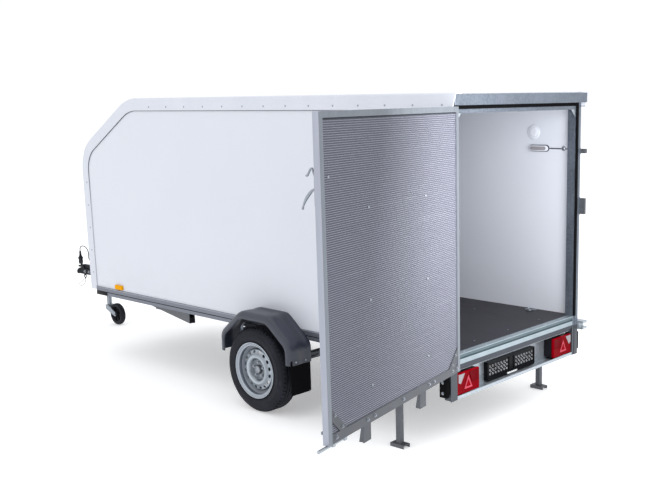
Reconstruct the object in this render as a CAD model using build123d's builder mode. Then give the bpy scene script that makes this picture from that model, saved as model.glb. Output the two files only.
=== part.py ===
from build123d import *
import os
from math import atan2, cos, hypot, radians, sin, tan

# Enclosed single-axle cargo trailer, standing parked on its wheels, its jockey wheel and two
# rear prop legs, with the combined ramp and side door swung open.
# Millimetres. +X points forward to the tow coupling, +Y to the left side, +Z up.
# The origin is the centre of the tow ball that the coupling closes on.

os.makedirs("parts", exist_ok=True)

# ---------------------------------------------------------------- driving dimensions
ball_to_front = 1415.0       # tow ball centre back to the front of the body
ball_diameter = 50.0
body_length = 3930.0         # rear frame face to the front face
body_width = 1430.0          # over the side panels
roof_height = 2157.0         # roof top above the ground
deck_height = 620.0          # load floor above the ground
deck_over_ball = 155.0       # load floor above the tow ball's centre
wall = 15.0                  # panels of the body
nose_slope = 30.0            # degrees that the nose falls below level
nose_length = 712.0          # front face back to where the roof meets the slope, before rounding
roof_bend_radius = 450.0
nose_bend_radius = 300.0
axle_station = 1587.0        # rear frame face forward to the wheel axis
tyre_diameter = 600.0
tyre_width = 165.0
rim_diameter = 391.0         # over the rim flanges
door_thickness = 34.0
door_open_angle = 167.8      # how far the door stands open at rest
running_gap = 0.05           # radial clearance of a pin in its bore
seat_gap = 0.3               # gap between pieces that rest on each other
swing_gap = 6.0              # gap round pieces that swing or turn

# ---------------------------------------------------------------- shared places
rear = -ball_to_front - body_length
front = rear + body_length
half = body_width / 2
deck = deck_over_ball
ground = deck - deck_height
roof = ground + roof_height
panel_foot = deck - 17       # lower edge of the side panels
axle_x = rear + axle_station
axle_z = ground + tyre_diameter / 2
tyre_radius = tyre_diameter / 2
wheel_y = half + 110         # middle of each tyre
nose_start = body_length - nose_length
sides = (("left", 1), ("right", -1))


def side_view(y):
    """Sketch plane seen from the right: local x is forward, local y is up."""
    return Plane(origin=(0, y, 0), x_dir=(1, 0, 0), z_dir=(0, -1, 0))


def rear_view(x):
    """Sketch plane across the trailer: local x is to the left, local y is up, normal forward."""
    return Plane(origin=(x, 0, 0), x_dir=(0, 1, 0), z_dir=(1, 0, 0))


def nose_points(inset, start_x, foot_z):
    """Corners of the roof and nose line, moved inwards by inset, from the rear to the foot."""
    front_corner_z = roof - (body_length - nose_start) * tan(radians(nose_slope))
    return [
        (start_x, roof - inset),
        (rear + nose_start - inset * tan(radians(nose_slope / 2)), roof - inset),
        (front - inset, front_corner_z - inset * tan(radians((90 - nose_slope) / 2))),
        (front - inset, foot_z),
    ]


def nose_radii(inset):
    return [roof_bend_radius - inset, nose_bend_radius - inset]


# ---------------------------------------------------------------- body shell
roof_joint_x = rear + nose_start - 300
nose_foot = panel_foot - 28

with BuildPart() as side_panels:
    for s in (1, -1):
        with BuildSketch(side_view(s * (half - wall / 2))):
            with BuildLine():
                top = FilletPolyline(nose_points(wall, rear, panel_foot), radius=nose_radii(wall))
                Polyline(top @ 1, (rear, panel_foot), top @ 0)
            make_face()
        extrude(amount=wall / 2, both=True)
side_panels.part.label = "side_panels"
export_step(side_panels.part, "parts/side_panels.step")

with BuildPart() as roof_panel:
    with BuildSketch(rear_view(rear)):
        with Locations((0, roof - wall / 2)):
            Rectangle(body_width, wall)
    extrude(amount=roof_joint_x - rear)
roof_panel.part.label = "roof_panel"
export_step(roof_panel.part, "parts/roof_panel.step")

with BuildPart() as nose_panel:
    with BuildSketch(side_view(0)):
        with BuildLine():
            skin = FilletPolyline(nose_points(0, roof_joint_x, nose_foot), radius=nose_radii(0))
            lining = FilletPolyline(nose_points(wall, roof_joint_x, nose_foot), radius=nose_radii(wall))
            Line(skin @ 0, lining @ 0)
            Line(skin @ 1, lining @ 1)
        make_face()
    extrude(amount=half, both=True)
nose_panel.part.label = "nose_panel"
export_step(nose_panel.part, "parts/nose_panel.step")

# Wide plastic mouldings cap the corner between each side and the roof and nose.
moulding_wall = 6.0
moulding_drop = 88.0         # how far it covers the side
moulding_lap = 45.0          # how far it covers the roof
moulding_round = 12.0
moulding_overhang = 57.0     # behind the rear frame face, at the roof
moulding_undercut = 24.0     # how much less at its lower edge

with BuildPart() as edge_mouldings:
    for s in (1, -1):
        with BuildLine(side_view(s * half)) as edge_path:
            FilletPolyline(nose_points(0, rear - moulding_overhang, nose_foot), radius=nose_radii(0))
        with BuildSketch(rear_view(rear - moulding_overhang)) as section:
            with BuildLine():
                Polyline(
                    (s * half, roof),
                    (s * half, roof - moulding_drop),
                    (s * (half + moulding_wall), roof - moulding_drop),
                    (s * (half + moulding_wall), roof + moulding_wall),
                    (s * (half - moulding_lap), roof + moulding_wall),
                    (s * (half - moulding_lap), roof),
                    close=True,
                )
            make_face()
            outer_corner = section.vertices().sort_by(lambda v: s * v.X + v.Y)[-1]
            fillet(outer_corner, moulding_round)
        sweep(path=edge_path.wires()[0])
        with BuildSketch(side_view(0)):
            with BuildLine():
                Polyline(
                    (rear - moulding_overhang - 1, roof + moulding_wall),
                    (rear - moulding_overhang, roof + moulding_wall),
                    (rear - moulding_overhang + moulding_undercut, roof - moulding_drop),
                    (rear - moulding_overhang - 1, roof - moulding_drop - 1),
                    close=True,
                )
            make_face()
        extrude(amount=half + 2 * moulding_wall, both=True, mode=Mode.SUBTRACT)
edge_mouldings.part.label = "edge_mouldings"
export_step(edge_mouldings.part, "parts/edge_mouldings.step")

# ---------------------------------------------------------------- floor and chassis
# Sizes of the rear frame, which the floor and rails fit round.
post_width = 52.0
post_depth = 58.0
post_wall = 3.0
post_foot = deck - 280
strip_width = 40.0           # flat strip that laps the ends of the side panel and rail
header_foot = roof - 65
header_wall = 3.0
header_overhang = 50.0
web_foot = header_foot - 46
opening_half = half - wall - seat_gap - post_width

sill_foot = deck - 102
sill_depth = 44.0

floor_thickness = 12.0
floor_rear = rear + sill_depth + seat_gap
floor_front = front - wall - 1
floor_half = half - wall - 0.5

with BuildPart() as load_floor:
    with BuildSketch(Plane.XY.offset(deck - floor_thickness)):
        with Locations(((floor_rear + floor_front) / 2, 0)):
            Rectangle(floor_front - floor_rear, 2 * floor_half)
        with Locations((rear, half), (rear, -half)):
            Rectangle(2 * (post_depth + seat_gap), 2 * (wall + post_width + 2 * seat_gap),
                      mode=Mode.SUBTRACT)
    extrude(amount=floor_thickness)
load_floor.part.label = "load_floor"
export_step(load_floor.part, "parts/load_floor.step")

# Side rail: an extruded profile in two bands, the lower one set in a little.
rail_height = 68.0
rail_outer = half + 9
rail_inner = half - 43
rail_foot = panel_foot - rail_height
rail_band = 33.0
rail_step = 5.0
rail_wall = 4.0
rail_start = rear + post_depth + seat_gap
rail_end = front - moulding_drop - seat_gap

with BuildPart() as side_rails:
    for s in (1, -1):
        with BuildSketch(rear_view(rail_start)):
            with BuildLine():
                Polyline(
                    (s * rail_inner, panel_foot - seat_gap),
                    (s * rail_outer, panel_foot - seat_gap),
                    (s * rail_outer, panel_foot - rail_band),
                    (s * (rail_outer - rail_step), panel_foot - rail_band - 2),
                    (s * (rail_outer - rail_step), rail_foot),
                    (s * rail_inner, rail_foot),
                    close=True,
                )
            make_face()
            chamber = (rail_height - 3 * rail_wall) / 2
            for chamber_z in (panel_foot - rail_wall - chamber / 2, rail_foot + rail_wall + chamber / 2):
                with Locations((s * (rail_inner + rail_outer - rail_step) / 2, chamber_z)):
                    Rectangle(rail_outer - rail_step - rail_inner - 2 * rail_wall, chamber,
                              mode=Mode.SUBTRACT)
        extrude(amount=rail_end - rail_start)
side_rails.part.label = "side_rails"
export_step(side_rails.part, "parts/side_rails.step")

# Cross members carry the floor between the rails, and one sits under the front panel.
member_height = deck - floor_thickness - rail_foot - 12
member_width = 40.0
member_wall = 3.0
member_first = 120.0         # rear frame face forward to the first member
member_last = 450.0          # last member forward to the front face
member_spacing = 560.0       # about how far apart they sit
member_run = body_length - member_first - member_last
member_count = round(member_run / member_spacing) + 1
member_pitch = member_run / (member_count - 1)
member_top = deck - floor_thickness - seat_gap

with BuildPart() as cross_members:
    for i in range(member_count):
        member_x = rear + member_first + i * member_pitch
        with BuildSketch(side_view(0)):
            with Locations((member_x, member_top - member_height / 2)):
                Rectangle(member_width, member_height)
                Rectangle(member_width - 2 * member_wall, member_height - 2 * member_wall,
                          mode=Mode.SUBTRACT)
        extrude(amount=rail_inner - seat_gap, both=True)
cross_members.part.label = "cross_members"
export_step(cross_members.part, "parts/cross_members.step")

# ---------------------------------------------------------------- rear frame
with BuildPart() as rear_posts:
    for s in (1, -1):
        with BuildSketch(Plane.XY.offset(post_foot)):
            with Locations((rear + post_depth / 2, s * (opening_half + post_width / 2))):
                Rectangle(post_depth, post_width)
                Rectangle(post_depth - 2 * post_wall, post_width - 2 * post_wall, mode=Mode.SUBTRACT)
            with Locations((rear - post_wall / 2, s * (half - strip_width / 2))):
                Rectangle(post_wall, strip_width)
        extrude(amount=header_foot - seat_gap - post_foot)
rear_posts.part.label = "rear_posts"
export_step(rear_posts.part, "parts/rear_posts.step")

with BuildPart() as header_beam:
    with BuildSketch(side_view(0)):
        with BuildLine():
            Polyline(
                (rear - seat_gap, roof - seat_gap),
                (rear - header_overhang, roof - seat_gap),
                (rear - header_overhang, header_foot),
                (rear + post_depth, header_foot),
                (rear + post_depth, roof - wall - seat_gap),
                (rear + post_depth - header_wall, roof - wall - seat_gap),
                (rear + post_depth - header_wall, header_foot + header_wall),
                (rear - header_overhang + header_wall, header_foot + header_wall),
                (rear - header_overhang + header_wall, roof - seat_gap - header_wall),
                (rear - seat_gap, roof - seat_gap - header_wall),
                close=True,
            )
        make_face()
    extrude(amount=half - wall - seat_gap, both=True)
    with BuildSketch(side_view(0)):
        with Locations((rear - header_wall / 2, (web_foot + header_foot) / 2)):
            Rectangle(header_wall, header_foot - web_foot)
    extrude(amount=half - strip_width - seat_gap, both=True)
header_beam.part.label = "header_beam"
export_step(header_beam.part, "parts/header_beam.step")

# Sill: a rolled section under the floor's rear edge, with a groove along its face.
with BuildPart() as rear_sill:
    with BuildSketch(side_view(0)):
        with BuildLine():
            Polyline(
                (rear + sill_depth, deck),
                (rear - 2, deck),
                (rear - 2, deck - 20),
                (rear + 6, deck - 24),
                (rear + 6, deck - 30),
                (rear - 2, deck - 32),
                (rear - 2, deck - 72),
                (rear + 12, sill_foot),
                (rear + sill_depth, sill_foot),
                close=True,
            )
        make_face()
        with Locations((rear + 27, (deck + sill_foot) / 2)):
            Rectangle(26, deck - sill_foot - 8, mode=Mode.SUBTRACT)
    extrude(amount=opening_half - seat_gap, both=True)
rear_sill.part.label = "rear_sill"
export_step(rear_sill.part, "parts/rear_sill.step")

# Rubber seal round the opening, which the closed door presses on.
seal_width = 22.0
seal_stand = 11.0            # how far it stands off the frame
seal_outer = half - strip_width - seat_gap
seal_foot = deck + 2
seal_head = header_foot - seat_gap

with BuildPart() as door_seal:
    with BuildSketch(rear_view(rear - header_wall)):
        with Locations((0, (seal_foot + seal_head) / 2)):
            Rectangle(2 * seal_outer, seal_head - seal_foot)
        with Locations((0, (seal_foot + seal_head) / 2 - seal_width)):
            Rectangle(2 * (seal_outer - seal_width), seal_head - seal_foot, mode=Mode.SUBTRACT)
    extrude(amount=-(seal_stand - header_wall))
door_seal.part.label = "door_seal"
export_step(door_seal.part, "parts/door_seal.step")

# Light bar: a recessed channel between the posts, with the lamps and the plate holder in it.
bar_depth = 92.0
bar_wall = 2.5
bar_foot = post_foot + 2
bar_head = sill_foot - seat_gap

with BuildPart() as light_bar:
    with BuildSketch(side_view(0)):
        with BuildLine():
            Polyline(
                (rear, bar_foot + 20),
                (rear, bar_foot),
                (rear + bar_depth, bar_foot),
                (rear + bar_depth, bar_head),
                (rear + 14, bar_head),
            )
            offset(amount=bar_wall, side=Side.LEFT, kind=Kind.INTERSECTION)
        make_face()
    extrude(amount=opening_half - seat_gap, both=True)
light_bar.part.label = "light_bar"
export_step(light_bar.part, "parts/light_bar.step")

lamp_width = 220.0
lamp_height = 136.0
lamp_front = rear + 4
lamp_back = rear + bar_depth - bar_wall - seat_gap
lamp_z = post_foot + 90

with BuildPart() as tail_lamps:
    for s in (1, -1):
        with BuildSketch(rear_view(lamp_front)):
            with Locations((s * (opening_half - 5 - lamp_width / 2), lamp_z)):
                RectangleRounded(lamp_width, lamp_height, 12)
        extrude(amount=lamp_back - lamp_front)
    fillet(tail_lamps.faces().group_by(Axis.X)[0].edges(), 6)
tail_lamps.part.label = "tail_lamps"
export_step(tail_lamps.part, "parts/tail_lamps.step")

plate_width = 532.0
plate_height = 122.0
plate_depth = 32.0
plate_z = post_foot + 74
with BuildPart() as plate_holder:
    with BuildSketch(rear_view(lamp_back - plate_depth)):
        with Locations((0, plate_z)):
            RectangleRounded(plate_width, plate_height, 6)
    extrude(amount=plate_depth)
    with BuildSketch(rear_view(lamp_back - plate_depth)):
        with Locations((0, plate_z + 6)):
            Rectangle(plate_width - 12, plate_height - 24)
    extrude(amount=5, mode=Mode.SUBTRACT)
plate_holder.part.label = "plate_holder"
export_step(plate_holder.part, "parts/plate_holder.step")

# ---------------------------------------------------------------- drawbar and coupling
beam_width = 45.0
beam_height = 86.0
beam_wall = 4.0
beam_top = rail_foot - seat_gap
beam_foot = beam_top - beam_height
beam_rear = front - 1340
beam_rear_y = half - 44
beam_front = -330.0
beam_front_y = beam_width / 2 + 34
beam_angle = atan2(beam_rear_y - beam_front_y, beam_front - beam_rear)
beam_length = hypot(beam_rear_y - beam_front_y, beam_front - beam_rear)

with BuildPart() as drawbar_beams:
    for s in (1, -1):
        beam_dir = (cos(beam_angle), -s * sin(beam_angle), 0)
        with BuildSketch(Plane(origin=(beam_rear, s * beam_rear_y, beam_top - beam_height / 2),
                               x_dir=(-beam_dir[1], beam_dir[0], 0), z_dir=beam_dir)):
            Rectangle(beam_width, beam_height)
            chamber = (beam_height - 3 * beam_wall) / 2
            for offset_z in (-1, 1):
                with Locations((0, offset_z * (chamber + beam_wall) / 2)):
                    Rectangle(beam_width - 2 * beam_wall, chamber, mode=Mode.SUBTRACT)
        extrude(amount=beam_length)
drawbar_beams.part.label = "drawbar_beams"
export_step(drawbar_beams.part, "parts/drawbar_beams.step")


def beam_y(x):
    """Distance of a beam's middle from the centre line at x."""
    return beam_rear_y - (x - beam_rear) * tan(beam_angle)


# Coupling shank between the beams' front ends, and the head over the ball.
ball_radius = ball_diameter / 2
socket_clearance = 0.3
socket_step = 4.0            # the straight mouth runs a little above the ball's middle
head_radius = 38.0
shank_width = 60.0
shank_height = 60.0
shank_rear = -420.0
shank_top = beam_foot + shank_height

with BuildPart() as coupling_head:
    with BuildSketch(rear_view(shank_rear)):
        with Locations((0, shank_top - shank_height / 2)):
            RectangleRounded(shank_width, shank_height, 8)
            RectangleRounded(shank_width - 10, shank_height - 10, 4, mode=Mode.SUBTRACT)
    extrude(amount=-shank_rear - 60)
    with BuildSketch(rear_view(-70)):
        with Locations((0, shank_top - shank_height / 2)):
            RectangleRounded(shank_width, shank_height, 8)
    with BuildSketch(rear_view(-20)):
        with Locations((0, 12)):
            RectangleRounded(2 * head_radius - 6, 54, 14)
    loft()
    Sphere(head_radius)
    with BuildSketch(Plane.XY.offset(-60)):
        Rectangle(200, 200)
    extrude(amount=60 - 17, mode=Mode.SUBTRACT)
    with BuildSketch(Plane.XY.offset(-30)):
        Circle(ball_radius + socket_clearance)
    extrude(amount=30 + socket_step, mode=Mode.SUBTRACT)
    Sphere(ball_radius + socket_clearance, mode=Mode.SUBTRACT)
coupling_head.part.label = "coupling_head"
export_step(coupling_head.part, "parts/coupling_head.step")

with BuildPart() as coupling_handle:
    with BuildSketch(side_view(0)):
        with BuildLine():
            Polyline(
                (-250, shank_top + 4), (-262, shank_top + 22), (-240, shank_top + 36),
                (-60, shank_top + 34), (10, shank_top + 20), (14, shank_top + 4),
                close=True,
            )
        make_face()
    extrude(amount=17, both=True)
    fillet(coupling_handle.edges().filter_by(Axis.Y), 5)
    with BuildSketch(Plane.XY.offset(shank_top + seat_gap)):
        with Locations((-90, 0)):
            Rectangle(50, 24)
    extrude(amount=8)
coupling_handle.part.label = "coupling_handle"
export_step(coupling_handle.part, "parts/coupling_handle.step")

# Plates that tie the two beams: one at the coupling, one at the jockey wheel, two under the body.
plate_thickness = 6.0
jockey_x = -470.0
jockey_y = -10.0
jockey_tube_radius = 24.0

with BuildPart() as drawbar_plates:
    for plate_x, plate_length in ((beam_front - 45, 84), (jockey_x, 96), (front - 40, 90),
                                  (front - 680, 90)):
        reach = beam_y(plate_x) + beam_width / 2 - 4
        with BuildSketch(Plane.XY.offset(beam_foot - seat_gap)):
            with Locations((plate_x, 0)):
                Rectangle(plate_length, 2 * reach)
            with Locations((jockey_x, jockey_y)):
                Circle(jockey_tube_radius + seat_gap, mode=Mode.SUBTRACT)
        extrude(amount=-plate_thickness)
drawbar_plates.part.label = "drawbar_plates"
export_step(drawbar_plates.part, "parts/drawbar_plates.step")

# ---------------------------------------------------------------- jockey wheel
jockey_wheel_radius = 105.0
jockey_wheel_width = 48.0
jockey_trail = 135.0
jockey_heading = 180.0       # degrees from forward that the wheel trails, at rest
jockey_tube_foot = ground + 2 * jockey_wheel_radius - 20
jockey_tube_top = beam_top + 260
jockey_bore_radius = 19.5
jockey_axle_radius = 8.0
trail_x = jockey_trail * cos(radians(jockey_heading))
trail_y = jockey_trail * sin(radians(jockey_heading))
jockey_hub = Vector(jockey_x + trail_x, jockey_y + trail_y, ground + jockey_wheel_radius)
jockey_axis = Vector(-sin(radians(jockey_heading)), cos(radians(jockey_heading)), 0)
jockey_plane = Plane(origin=jockey_hub, x_dir=(0, 0, 1), z_dir=jockey_axis)

# Outer tube, the clamp on the jockey plate, and the crank on top.
clamp_height = 46.0
with BuildPart() as jockey_tube:
    with BuildSketch(Plane.XY.offset(jockey_tube_foot)):
        with Locations((jockey_x, jockey_y)):
            Circle(jockey_tube_radius)
            Circle(jockey_bore_radius, mode=Mode.SUBTRACT)
    extrude(amount=jockey_tube_top - jockey_tube_foot)
    with BuildSketch(Plane.XY.offset(jockey_tube_top)):
        with Locations((jockey_x, jockey_y)):
            Circle(jockey_tube_radius + 3)
    extrude(amount=14)
    with BuildSketch(Plane.XY.offset(beam_foot)):
        with Locations((jockey_x, jockey_y)):
            Circle(jockey_tube_radius + 8)
            Rectangle(96, 30)
            Circle(jockey_bore_radius, mode=Mode.SUBTRACT)
    extrude(amount=clamp_height)
    with BuildSketch(Plane(origin=(jockey_x, jockey_y, jockey_tube_top + 14),
                           x_dir=(1, 0, 0), z_dir=(0, 0, 1))):
        Circle(9)
    extrude(amount=22)
    with BuildSketch(side_view(jockey_y)):
        with BuildLine():
            Polyline(
                (jockey_x - 8, jockey_tube_top + 36), (jockey_x + 8, jockey_tube_top + 36),
                (jockey_x + 8, jockey_tube_top + 44), (jockey_x - 118, jockey_tube_top + 44),
                (jockey_x - 118, jockey_tube_top + 36), close=True,
            )
        make_face()
    extrude(amount=9, both=True)
    with BuildSketch(Plane.XY.offset(jockey_tube_top + 44)):
        with Locations((jockey_x - 106, jockey_y)):
            Circle(11)
    extrude(amount=78)
jockey_tube.part.label = "jockey_tube"
export_step(jockey_tube.part, "parts/jockey_tube.step")

# Swivelling inner tube with the bent arms that hold the wheel.
fork_gap = jockey_wheel_width / 2 + swing_gap
fork_wall = 6.0
fork_crown = jockey_tube_foot - swing_gap
with BuildPart() as jockey_fork:
    with BuildSketch(Plane.XY.offset(fork_crown)):
        with Locations((jockey_x, jockey_y)):
            Circle(jockey_bore_radius - running_gap)
    extrude(amount=320)
    with BuildSketch(Plane.XY.offset(fork_crown)):
        with Locations((jockey_x, jockey_y)):
            Circle(jockey_tube_radius)
    extrude(amount=-30)
    for arm in (-1, 1):
        with BuildSketch(jockey_plane.offset(arm * fork_gap)):
            with BuildLine():
                # local x is up, local y runs back towards the swivel or away from it
                along = -1 if (jockey_plane.y_dir.dot(Vector(trail_x, trail_y, 0)) > 0) else 1
                Polyline(
                    (fork_crown - jockey_hub.Z, along * (jockey_trail + 20)),
                    (fork_crown - jockey_hub.Z, along * (jockey_trail - 22)),
                    (20, along * -6),
                    (-14, along * -16),
                    (-20, along * 4),
                    (fork_crown - jockey_hub.Z - 42, along * (jockey_trail + 16)),
                    close=True,
                )
            make_face()
        extrude(amount=arm * fork_wall)
    with BuildSketch(Plane(origin=(jockey_x, jockey_y, fork_crown - 6), x_dir=jockey_axis,
                           z_dir=(0, 0, 1))):
        Rectangle(2 * (fork_gap + fork_wall), 40)
    extrude(amount=6)
    with BuildSketch(jockey_plane):
        Circle(jockey_axle_radius)
    extrude(amount=fork_gap + fork_wall + 5, both=True)
jockey_fork.part.label = "jockey_fork"
export_step(jockey_fork.part, "parts/jockey_fork.step")

with BuildPart() as jockey_wheel:
    with BuildSketch(jockey_plane):
        Circle(jockey_wheel_radius)
    extrude(amount=jockey_wheel_width / 2, both=True)
    fillet(jockey_wheel.edges(), 12)
    for face_side in (-1, 1):
        with BuildSketch(jockey_plane.offset(face_side * jockey_wheel_width / 2)):
            Circle(jockey_wheel_radius - 34)
            Circle(24, mode=Mode.SUBTRACT)
        extrude(amount=-face_side * 12, mode=Mode.SUBTRACT)
    with BuildSketch(jockey_plane):
        Circle(jockey_axle_radius + running_gap)
    extrude(amount=jockey_wheel_width, both=True, mode=Mode.SUBTRACT)
jockey_wheel.part.label = "jockey_wheel"
export_step(jockey_wheel.part, "parts/jockey_wheel.step")

# ---------------------------------------------------------------- axle and springs
axle_square = 50.0
axle_wall = 4.0
spring_y = half - 105
spring_width = 50.0
spring_half_span = 450.0
spring_leaf = 9.0
stub_radius = 16.0
wheel_mid = wheel_y
hub_inner = wheel_mid - 95
hub_outer = wheel_mid + 34
axle_end = hub_inner - swing_gap

with BuildPart() as axle_beam:
    with BuildSketch(side_view(0)):
        with Locations((axle_x, axle_z)):
            RectangleRounded(axle_square, axle_square, 6)
            RectangleRounded(axle_square - 2 * axle_wall, axle_square - 2 * axle_wall, 3,
                             mode=Mode.SUBTRACT)
    extrude(amount=axle_end, both=True)
    for s in (1, -1):
        with BuildSketch(side_view(s * (axle_end - 40))):
            with Locations((axle_x, axle_z)):
                Rectangle(axle_square - axle_wall, axle_square - axle_wall)
        extrude(amount=-s * 40)
        with BuildSketch(side_view(s * axle_end)):
            with Locations((axle_x, axle_z)):
                Circle(stub_radius)
        extrude(amount=-s * (hub_outer - 20 - axle_end))
axle_beam.part.label = "axle_beam"
export_step(axle_beam.part, "parts/axle_beam.step")

# Leaf springs: three leaves bowed down over the axle, with rolled eyes at the ends.
spring_foot = axle_z + axle_square / 2 + seat_gap
eye_radius = 14.0
eye_pin_radius = 7.0
eye_drop = 89.7              # spring ends below the rails
eye_z = rail_foot - eye_drop
spring_rise = eye_z - spring_foot    # eyes above the spring's middle

with BuildPart() as leaf_springs:
    for s in (1, -1):
        for leaf, leaf_share in enumerate((0.55, 0.78, 1.0)):
            leaf_span = spring_half_span * leaf_share
            leaf_rise = spring_rise * leaf_share ** 2
            leaf_z = spring_foot + leaf * spring_leaf
            with BuildSketch(side_view(s * spring_y)):
                with BuildLine():
                    lower = ThreePointArc(
                        (axle_x - leaf_span, leaf_z + leaf_rise),
                        (axle_x, leaf_z),
                        (axle_x + leaf_span, leaf_z + leaf_rise),
                    )
                    upper = ThreePointArc(
                        (axle_x - leaf_span, leaf_z + leaf_rise + spring_leaf),
                        (axle_x, leaf_z + spring_leaf),
                        (axle_x + leaf_span, leaf_z + leaf_rise + spring_leaf),
                    )
                    Line(lower @ 0, upper @ 0)
                    Line(lower @ 1, upper @ 1)
                make_face()
            extrude(amount=spring_width / 2, both=True)
        for end in (-1, 1):
            with BuildSketch(side_view(s * spring_y)):
                with Locations((axle_x + end * (spring_half_span + 4), eye_z + 3 * spring_leaf)):
                    Circle(eye_radius)
            extrude(amount=spring_width / 2, both=True)
    for end in (-1, 1):
        with BuildSketch(side_view(0)):
            with Locations((axle_x + end * (spring_half_span + 4), eye_z + 3 * spring_leaf)):
                Circle(eye_pin_radius + running_gap)
        extrude(amount=spring_y + spring_width, both=True, mode=Mode.SUBTRACT)
leaf_springs.part.label = "leaf_springs"
export_step(leaf_springs.part, "parts/leaf_springs.step")

# Hangers: a side member under the cross members with an ear pair and a pin at each spring eye.
hanger_foot = eye_z + 3 * spring_leaf - 20
member_foot = member_top - member_height
side_member_height = 22.0
ear_length = 60.0
ear_wall = 5.0
with BuildPart() as spring_hangers:
    for s in (1, -1):
        with BuildSketch(side_view(s * spring_y)):
            with Locations((axle_x, member_foot - seat_gap - side_member_height / 2)):
                Rectangle(2 * spring_half_span + 160, side_member_height)
        extrude(amount=spring_width / 2 + ear_wall + 1, both=True)
        for end in (-1, 1):
            eye_x = axle_x + end * (spring_half_span + 4)
            for ear in (-1, 1):
                with BuildSketch(side_view(s * spring_y + ear * (spring_width / 2 + 1 + ear_wall / 2))):
                    with BuildLine():
                        Polyline(
                            (eye_x - ear_length / 2, member_foot - seat_gap - 2),
                            (eye_x + ear_length / 2, member_foot - seat_gap - 2),
                            (eye_x + 20, hanger_foot), (eye_x - 20, hanger_foot),
                            close=True,
                        )
                    make_face()
                extrude(amount=ear_wall / 2, both=True)
            with BuildSketch(side_view(s * spring_y)):
                with Locations((eye_x, eye_z + 3 * spring_leaf)):
                    Circle(eye_pin_radius)
            extrude(amount=spring_width / 2 + ear_wall + 8, both=True)
spring_hangers.part.label = "spring_hangers"
export_step(spring_hangers.part, "parts/spring_hangers.step")

# U-bolt clamps hold each spring down on the axle. The plate clears the bow of the top leaf.
clamp_length = 96.0
clamp_foot = spring_foot + 3 * spring_leaf + seat_gap
clamp_foot += max(spring_rise, 0) * (clamp_length / 2 / spring_half_span) ** 2
with BuildPart() as spring_clamps:
    for s in (1, -1):
        with BuildSketch(Plane.XY.offset(clamp_foot)):
            with Locations((axle_x, s * spring_y)):
                Rectangle(clamp_length, spring_width + 34)
        extrude(amount=8)
        for bolt_x in (-38, 38):
            for bolt_y in (-1, 1):
                with BuildSketch(Plane.XY.offset(axle_z - axle_square / 2 - 14)):
                    with Locations((axle_x + bolt_x, s * spring_y + bolt_y * (spring_width / 2 + 8))):
                        Circle(5)
                extrude(amount=clamp_foot + 20 - axle_z + axle_square / 2 + 14)
        with BuildSketch(Plane.XY.offset(axle_z - axle_square / 2 - seat_gap)):
            with Locations((axle_x, s * spring_y)):
                Rectangle(92, spring_width + 30)
        extrude(amount=-6)
spring_clamps.part.label = "spring_clamps"
export_step(spring_clamps.part, "parts/spring_clamps.step")

# ---------------------------------------------------------------- wheels
rim_radius = rim_diameter / 2
rim_width = 150.0            # over the flanges
rim_wall = 4.0
bead_radius = 178.0
bead_gap = seat_gap
well_radius = 152.0
hub_face = wheel_mid + 30    # where the disc bolts to the hub
hub_radius = 62.0
disc_hole_radius = 9.0
disc_hole_circle = 134.0
disc_hole_count = 16

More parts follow.
